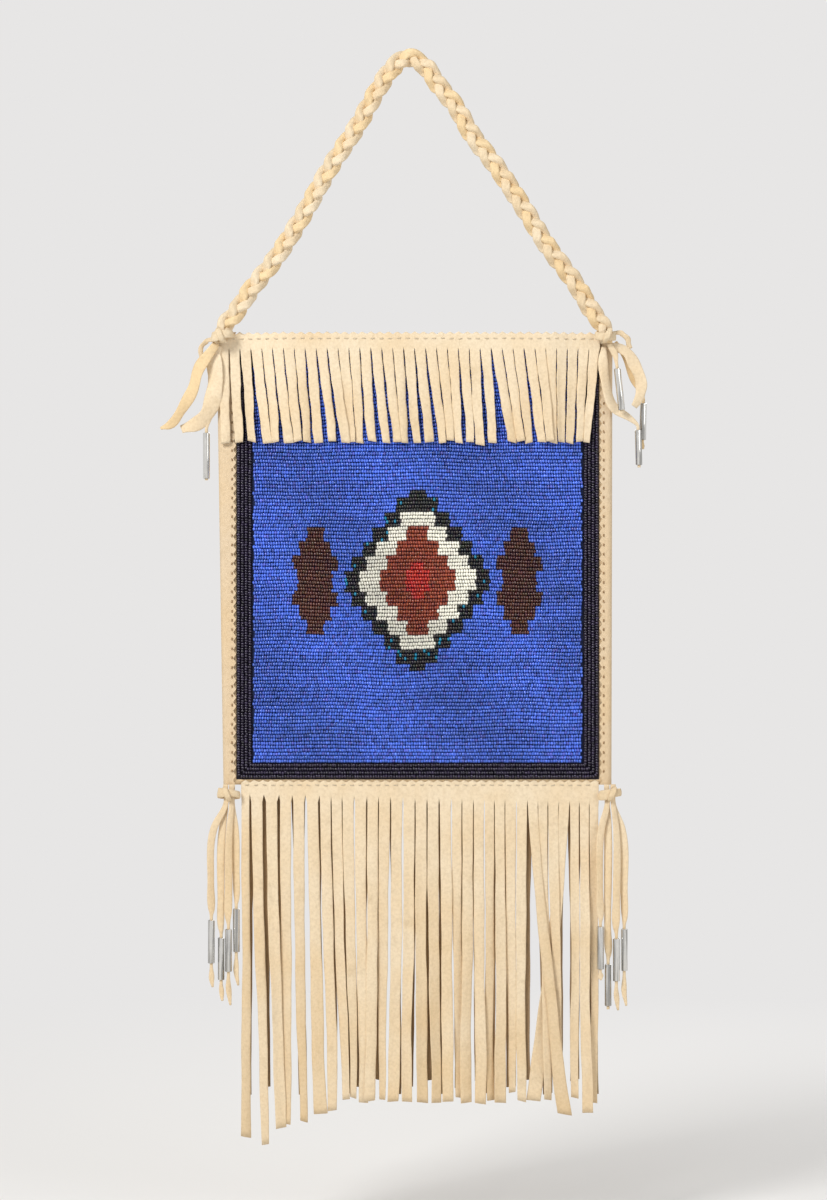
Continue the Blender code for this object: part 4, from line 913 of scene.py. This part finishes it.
class BAG_OT_beads(bpy.types.Operator):
    """Sews the bead field, its stepped medallion and the border, bead by bead"""

    bl_idname = "bag.beads"
    bl_label = "Bead work"

    def execute(self, context):
        sizes, colours = context.scene.bag_sizes, context.scene.bag_colours
        random = np.random.default_rng(11)
        found = {}
        for row in range(FIELD_ROWS):
            shift = random.uniform(0, sizes.bead_length)
            count = int((FIELD_RIGHT - FIELD_LEFT - shift) / sizes.bead_length)
            x = FIELD_LEFT + shift + (np.arange(count) + 0.5) * sizes.bead_length
            x = x + random.normal(0, 0.00005, count)
            z = np.full(count, FIELD_BOTTOM + (row + 0.5) * ROW)
            for place_x, place_z in zip(x, z):
                found.setdefault(motif_node(place_x, row), []).append((place_x, place_z))
        shades = {
            "bead_field": (colours.blue, 0.30, "blue_beads"),
            "beads_medallion": (colours.black, 0.3, "black_beads"),
            "beads_white_ring": (colours.white, 0.07, "white_beads"),
            "beads_rust_panel": (colours.rust, 0.3, "rust_beads"),
            "beads_red_centre": (colours.red, 0.2, "red_beads"),
            "beads_figure_left": (colours.brown, 0.3, "brown_beads"),
            "beads_figure_right": (colours.brown, 0.3, "brown_beads"),
        }
        for seed, (node, spots) in enumerate(sorted(found.items())):
            spots = np.array(spots)
            places, ways = self.laid(spots, random, sizes)
            colour, spread, slot = shades[node]
            tone = random.normal(1, spread * 0.55, (len(spots), 1)).clip(0.45, 1.7)
            across, down = spots[:, :1], spots[:, 1:]
            patch = 1 + 0.14 * np.sin(across * 61 + down * 43) + 0.08 * np.sin(down * 310)
            shade = np.array(colour[:]) * tone * patch + random.normal(0, 0.004, (len(spots), 3))
            if node == "beads_medallion":
                teal = random.random(len(spots)) < TEAL_SHARE
                shade[teal] = TEAL
            if node == "bead_field":
                violet = random.random(len(spots)) < VIOLET_SHARE
                shade[violet] = shade[violet] * VIOLET_TINT
            parts = math.ceil(len(spots) / PIECE_BEADS)
            for number, chosen in enumerate(np.array_split(np.arange(len(spots)), parts)):
                name = node.replace("beads_", "seed_beads_").replace("bead_field", "seed_beads_blue")
                add_beads(
                    f"{name}_{number + 1}", places[chosen], ways[chosen], shade[chosen],
                    seed * 10 + number, (node,),
                )
        self.border(random, sizes, colours)
        return {"FINISHED"}

    def laid(self, spots, random, sizes):
        """Places of beads on the swollen hide and the ways they point, in rows that wander a little."""
        x, z = spots[:, 0], spots[:, 1]
        wave = sizes.bead_wave * (np.sin(x * 52 + z * 21) + 0.6 * np.sin(x * 118 - z * 47 + 1.3))
        slope = sizes.bead_wave * (52 * np.cos(x * 52 + z * 21) + 70.8 * np.cos(x * 118 - z * 47 + 1.3))
        fade = np.clip((x - FIELD_LEFT) / 0.02, 0, 1) * np.clip((FIELD_RIGHT - x) / 0.02, 0, 1)
        fade = fade * np.clip((z - FIELD_BOTTOM) / 0.02, 0, 1)
        z_new = z + wave * fade + random.normal(0, 0.00007, len(z))
        depth = BEAD_BACK + ROW / 2 * 0.97 + swell(x, z) + random.normal(0, 0.00008, len(z))
        depth = depth + 0.0004 * np.sin(x * 40 - 1) * np.sin(z * 33) * fade
        tilt = slope * fade + random.normal(0, 0.05, len(z))
        ways = unit(np.stack([np.ones_like(tilt), random.normal(0, 0.05, len(z)), tilt], axis=1))
        return np.stack([x, REAR_Y - depth, z_new], axis=1), ways

    def border(self, random, sizes, colours):
        """Lanes of beads down both sides and along the bottom, with close corners."""
        left, right, low = FIELD_LEFT - GAP, FIELD_RIGHT + GAP, FIELD_BOTTOM - GAP
        places, ways = [], []
        for lane in range(BORDER_LANES):
            out = BORDER_WIDTH * (lane + 0.5) / BORDER_LANES
            arc = np.linspace(0, math.pi / 2, 12)
            bend = 0.3 * out
            short = out - bend
            x = np.concatenate([
                [left - out], left - short - bend * np.cos(arc), right + short + bend * np.sin(arc),
                [right + out],
            ])
            z = np.concatenate([
                [FIELD_TOP], low - short - bend * np.sin(arc), low - short - bend * np.cos(arc), [FIELD_TOP],
            ])
            run = np.concatenate([[0], np.cumsum(np.hypot(np.diff(x), np.diff(z)))])
            at = np.arange(random.uniform(0, 0.001), run[-1], sizes.bead_length)
            px, pz = np.interp(at, run, x), np.interp(at, run, z)
            dx, dz = np.gradient(px), np.gradient(pz)
            jitter = random.normal(0, 0.00009, (2, len(at)))
            depth = BEAD_BACK + ROW / 2 * 0.95 + random.normal(0, 0.00008, len(at))
            places.append(np.stack([px + jitter[0], REAR_Y - depth, pz + jitter[1]], axis=1))
            ways.append(unit(np.stack([dx, random.normal(0, 0.00008, len(at)), dz], axis=1)))
        places, ways = np.concatenate(places), np.concatenate(ways)
        tone = random.normal(1, 0.35, (len(places), 1)).clip(0.4, 2.2)
        shade = np.array(colours.night[:]) * tone
        add_beads("seed_beads_border", places, ways, shade, 90, ("bead_border",))


class BAG_OT_strap(bpy.types.Operator):
    """Plaits the strap from three thongs"""

    bl_idname = "bag.strap"
    bl_label = "Plaited strap"

    def execute(self, context):
        fine = smooth([(x * MM, 0.0, z * MM) for x, z in STRAP_LINE], 16)
        run = np.concatenate([[0], np.cumsum(np.linalg.norm(np.diff(fine, axis=0), axis=1))])
        length = run[-1]
        apex = run[int(fine[:, 2].argmax())]
        count = PLAITS * 26
        want = np.linspace(0, length, count + 1)

        def at(where):
            return np.stack([np.interp(where, run, fine[:, i]) for i in range(3)], axis=1)

        middle = at(want)
        reach = length / count * 3.2
        ahead = unit(at(want + reach) - at(want - reach))
        leg = np.where(want < apex, apex, length - apex)
        middle[:, 1] -= STRAP_FORWARD * np.abs(want - apex) / leg
        from_end = np.minimum(1, np.minimum(want, length - want) / STRAP_END_RUN)
        scale = STRAP_END_SCALE + (1 - STRAP_END_SCALE) * from_end
        across = np.stack([ahead[:, 2], 0 * want, -ahead[:, 0]], axis=1)
        looks = (("thong", "thong"), ("pale", "thong"), ("yellow", "yellow_thong"))
        for strand, (finish, slot) in enumerate(looks):
            turn = 2 * math.pi * (want / length * PLAITS + strand / 3)
            swing, rise = PLAIT_SWING * np.cos(turn), 2 * PLAIT_DEPTH * np.cos(2 * turn)
            roll = np.arctan2(rise, np.hypot(swing, PLAIT_TURN))
            stretch = np.hypot(1, 2 * math.pi * PLAITS / length * swing)
            centres = middle + across * (PLAIT_SWING * np.sin(turn) * scale)[:, None]
            centres = centres + FRONT * (PLAIT_DEPTH * np.sin(2 * turn) * scale)[:, None]
            wide = across * (np.cos(roll) * stretch)[:, None] + FRONT * np.sin(roll)[:, None]
            thick = FRONT * np.cos(roll)[:, None] - across * (np.sin(roll) * stretch)[:, None]
            loose = 1 + 0.05 * np.sin(want * 900 + strand * 2)
            half_width, half_thick = THONG_HALF
            widths, thicks = half_width * scale * loose, half_thick * scale
            points, faces = thong_mesh(centres, wide, thick, widths, thicks, 16)
            made = piece(f"plait_{strand + 1}", points, faces, finish, (f"strap_thong_{strand + 1}",))
        return {"FINISHED"}


class BAG_OT_ties(bpy.types.Operator):
    """Hangs the upper ties and the lower corner laces with their metal tubes"""

    bl_idname = "bag.ties"
    bl_label = "Ties and laces"

    def execute(self, context):
        loops_first = sorted(TIES.items(), key=lambda tie: "loop" not in tie[0])
        made = {}
        for seed, (name, (finish, rows, tube)) in enumerate(loops_first):
            carries = [made[LOOP_CARRIERS[name]]] if name in LOOP_CARRIERS else []
            made[name] = add_thong(name, finish, rows, tube, seed)
        for side, (centre, laces) in LACES.items():
            for number, (tail_x, top, low, tail) in enumerate(laces, 1):
                x = centre + (LACE_SPREAD if number > 2 else -LACE_SPREAD)
                depth = LACE_DEPTHS[number % 2]
                bend_x = x + (tail_x - x) * 0.8
                rows = (
                    (x, -420.0, depth, 1.45, 0.6), (x, -430.5, depth, 1.45, 0.6),
                    (bend_x, -445.0, depth, 2.1, 0.6), (tail_x, top + 22.0, depth, 2.1, 0.6),
                    (tail_x, top + 7.0, depth, 1.9, 0.6),
                )
                tube = ((tail_x, top, depth), (tail_x, low, depth), tail)
                finish = "pale" if number % 2 else "lace"
                add_thong(f"lace_{side}_{number}", finish, rows, tube, 40 + number)
        return {"FINISHED"}


class BAG_OT_wraps(bpy.types.Operator):
    """Binds a thong round each corner"""

    bl_idname = "bag.wraps"
    bl_label = "Corner wraps"

    def execute(self, context):
        turns = context.scene.bag_sizes.wrap_turns
        for number, (name, ((x, z, depth), half_x, half_depth)) in enumerate(WRAPS.items()):
            side = 1 if "right" in name else -1
            angle = np.linspace(0, 2 * math.pi * turns, int(40 * turns))
            along = np.linspace(-1, 1, len(angle))
            grown = 0.75 + 0.30 * (along + 1)
            sweep_x, sweep_y = np.cos(angle + 1.1), np.sin(angle + 1.1)
            centres = np.stack([
                x + (half_x + grown) * sweep_x, REAR_Y / MM - depth + (half_depth + grown) * sweep_y,
                z - along * 1.1 + side * 1.0 * np.sin(angle * 0.93 + 0.4 + number),
            ], axis=1) * MM
            outward = unit(np.stack([sweep_x, sweep_y, 0 * angle], axis=1))
            ways = unit(np.gradient(centres, axis=0))
            ends = np.minimum(1, (1 - np.abs(along)) * 9 + 0.25)
            across = np.cross(ways, outward)
            parts = [thong_mesh(centres, across, outward, 0.00185 * ends, WRAP_THICK * ends, 12)]
            turn = np.linspace(-1.35, 1.35, 26)
            reach = half_depth + 2.6
            centres = np.stack([
                x + side * (1.0 + 1.6 * np.sin(turn)), REAR_Y / MM - depth - reach * np.cos(turn) ** 0.6,
                z + 4.2 * np.sin(turn),
            ], axis=1) * MM
            ways = unit(np.gradient(centres, axis=0))
            aside = np.array([1.0, 0.0, 0.15])
            across = unit(aside - ways * (ways @ aside)[:, None])
            ends = 1 - 0.45 * np.abs(turn / 1.35) ** 3
            face = np.cross(across, ways)
            parts.append(thong_mesh(centres, across, face, 0.0017 * ends, WRAP_THICK * ends, 12))
            points = np.concatenate([part[0] for part in parts])
            shift = len(parts[0][0])
            faces = parts[0][1] + [[corner + shift for corner in face] for face in parts[1][1]]
            piece(name + "_thong", points, faces, "thong", (name,))
        return {"FINISHED"}


class BAG_OT_stitches(bpy.types.Operator):
    """Sews running stitches along the fringe tops and the folded edges"""

    bl_idname = "bag.stitches"
    bl_label = "Running stitches"

    def execute(self, context):
        sizes = context.scene.bag_sizes
        half, hide = sizes.stitch_length / 2, sizes.hide_thickness
        random = np.random.default_rng(21)
        upper_x = np.arange(UPPER_SPAN[0] + 0.0035, UPPER_SPAN[1] - 0.002, TOOTH)
        lower_x = np.arange(LOWER_SPAN[0] + 0.0035, LOWER_SPAN[1] - 0.002, TOOTH)
        side_z = np.arange(BODY_BOTTOM + 0.008, BODY_TOP - 0.012, 0.0055)
        upper, lower = UPPER_STITCHES, LOWER_STITCHES
        lines = {
            "stitches_upper": [(x, upper, UPPER_FRINGE_BACK + hide + swell(x, upper), 0) for x in upper_x],
            "stitches_lower": [(x, lower, LOWER_FRINGE_BACK + hide, 0) for x in lower_x],
            "stitches_left": [(LEFT_FLANGE_IN - 0.0024, z, FLANGE_FACE, 1) for z in side_z],
            "stitches_right": [(RIGHT_FLANGE_IN + 0.0026, z, FLANGE_FACE, 1) for z in side_z],
        }
        for name, spots in lines.items():
            points, faces = [], []
            for x, z, depth, upright in spots:
                tilt = random.normal(0, 0.12) + (math.pi / 2 if upright else 0)
                way = np.array([math.cos(tilt), 0.0, math.sin(tilt)])
                along = np.linspace(-1, 1, 7) * (0.55 if upright else 1.0)
                arch = 0.00022 - 0.0005 * along**4
                place = np.array([x, REAR_Y - depth, z + random.normal(0, 0.0001)])
                centres = place + way * (along * half)[:, None] + FRONT * arch[:, None]
                side = np.broadcast_to(np.cross(way, FRONT), centres.shape)
                size = np.full(len(along), THREAD_RADIUS)
                made, ring = thong_mesh(centres, side, np.broadcast_to(FRONT, centres.shape), size, size, 8)
                offset = sum(len(group) for group in points)
                points.append(made)
                faces += [[corner + offset for corner in face] for face in ring]
            # the folded edges take the dark thread, whose colour is partly painted shade of the stitch
            # dimples
            piece(name, np.concatenate(points), faces, "shaded_brown_thread" if upright else "thread")
        return {"FINISHED"}


class BAG_OT_stage(bpy.types.Operator):
    """Sets a pale floor, soft lamps and the camera in front of the bag"""

    bl_idname = "bag.stage"
    bl_label = "Stage"

    def execute(self, context):
        self.floor(context.scene)
        self.world(context.scene)
        self.lamps(context.scene)
        self.camera(context.scene)
        context.scene.view_settings.view_transform = "Standard"
        return {"FINISHED"}

    def floor(self, scene):
        """A pale floor that fades into the backdrop away from the bag."""
        finish = Finish("floor")
        finish.finished({"Base Color": FLOOR_COLOUR, "Roughness": 0.9})
        away = finish.add("ShaderNodeVectorMath", {"operation": "LENGTH"}, {0: finish.place()}, "Value")
        glow = finish.add("ShaderNodeEmission", {}, {"Color": BACKDROP, "Strength": 1.0})
        lit = Value(finish, finish.surface.outputs[0])
        faded = finish.add("ShaderNodeMixShader", {}, {0: finish.span(away, *FLOOR_FADE), 1: lit, 2: glow})
        finish.put(finish.tree.nodes["Material Output"].inputs[0], faded)
        level, far = CAD_BOX[0][2] - FLOOR_DROP, FLOOR_REACH
        corners = [(x, y, level) for x, y in ((-far, -far), (far, -far), (far, far), (-far, far))]
        mesh = bpy.data.meshes.new("floor")
        mesh.from_pydata(corners, [], [(0, 1, 2, 3)])
        mesh.materials.append(finish.material)
        made = bpy.data.objects.new("floor", mesh)
        scene.collection.objects.link(made)

    def world(self, scene):
        """Soft light all round, with a paler backdrop for what the camera and the beads see."""
        world = bpy.data.worlds.new("studio")
        world.use_nodes = True
        nodes = Nodes(world.node_tree)
        rays = ("Is Camera Ray", "Is Glossy Ray", "Is Transmission Ray")
        camera, glossy, clear = (nodes.add("ShaderNodeLightPath", {}, {}, ray) for ray in rays)
        seen = nodes.add("ShaderNodeMath", {"operation": "MAXIMUM"}, {0: camera, 1: glossy})
        seen = nodes.add("ShaderNodeMath", {"operation": "MAXIMUM"}, {0: seen, 1: clear})
        background = nodes.tree.nodes["Background"]
        nodes.put(background.inputs["Strength"], WORLD_LIGHT + seen * (WORLD_SEEN - WORLD_LIGHT))
        nodes.put(background.inputs["Color"], BACKDROP)
        scene.world = world

    def lamps(self, scene):
        for name, (place, watts, size) in LAMPS.items():
            lamp = bpy.data.lights.new(name, "AREA")
            lamp.energy = watts
            lamp.size = size
            made = bpy.data.objects.new(name, lamp)
            made.location = place
            made.rotation_euler = (LAMPS_AIM - made.location).to_track_quat("-Z", "Y").to_euler()
            scene.collection.objects.link(made)

    def camera(self, scene):
        data = bpy.data.cameras.new("front")
        data.sensor_fit = "VERTICAL"
        data.sensor_height = CAMERA_SENSOR
        data.lens = CAMERA_LENS
        made = bpy.data.objects.new("front", data)
        made.location = CAMERA_PLACE
        made.rotation_euler = (math.pi / 2, 0.0, 0.0)
        scene.collection.objects.link(made)
        scene.camera = made


class BAG_PT_panel(bpy.types.Panel):
    """The bag's steps and settings in the sidebar"""

    bl_label = "Beaded bag"
    bl_idname = "BAG_PT_panel"
    bl_space_type = "VIEW_3D"
    bl_region_type = "UI"
    bl_category = "Bag"

    def draw(self, context):
        for group in (context.scene.bag_sizes, context.scene.bag_colours):
            for name in group.__annotations__:
                self.layout.prop(group, name)
        for operator in OPERATORS:
            self.layout.operator(operator.bl_idname)


OPERATORS = (
    BAG_OT_stage, BAG_OT_panels, BAG_OT_beads, BAG_OT_fringes, BAG_OT_strap, BAG_OT_ties, BAG_OT_wraps,
    BAG_OT_stitches,
)
CLASSES = (BagSizes, BagColours, *OPERATORS, BAG_PT_panel)


def register():
    for made in CLASSES:
        bpy.utils.register_class(made)
    bpy.types.Scene.bag_sizes = PointerProperty(type=BagSizes)
    bpy.types.Scene.bag_colours = PointerProperty(type=BagColours)


def unregister():
    del bpy.types.Scene.bag_sizes
    del bpy.types.Scene.bag_colours
    for made in reversed(CLASSES):
        bpy.utils.unregister_class(made)


def main():
    register()
    FINISHES.update(build_finishes(bpy.context.scene.bag_colours))
    bpy.ops.bag.stage()
    bpy.ops.bag.panels()
    bpy.ops.bag.beads()
    bpy.ops.bag.fringes()
    bpy.ops.bag.strap()
    bpy.ops.bag.ties()
    bpy.ops.bag.wraps()
    bpy.ops.bag.stitches()


if __name__ == "__main__":
    main()
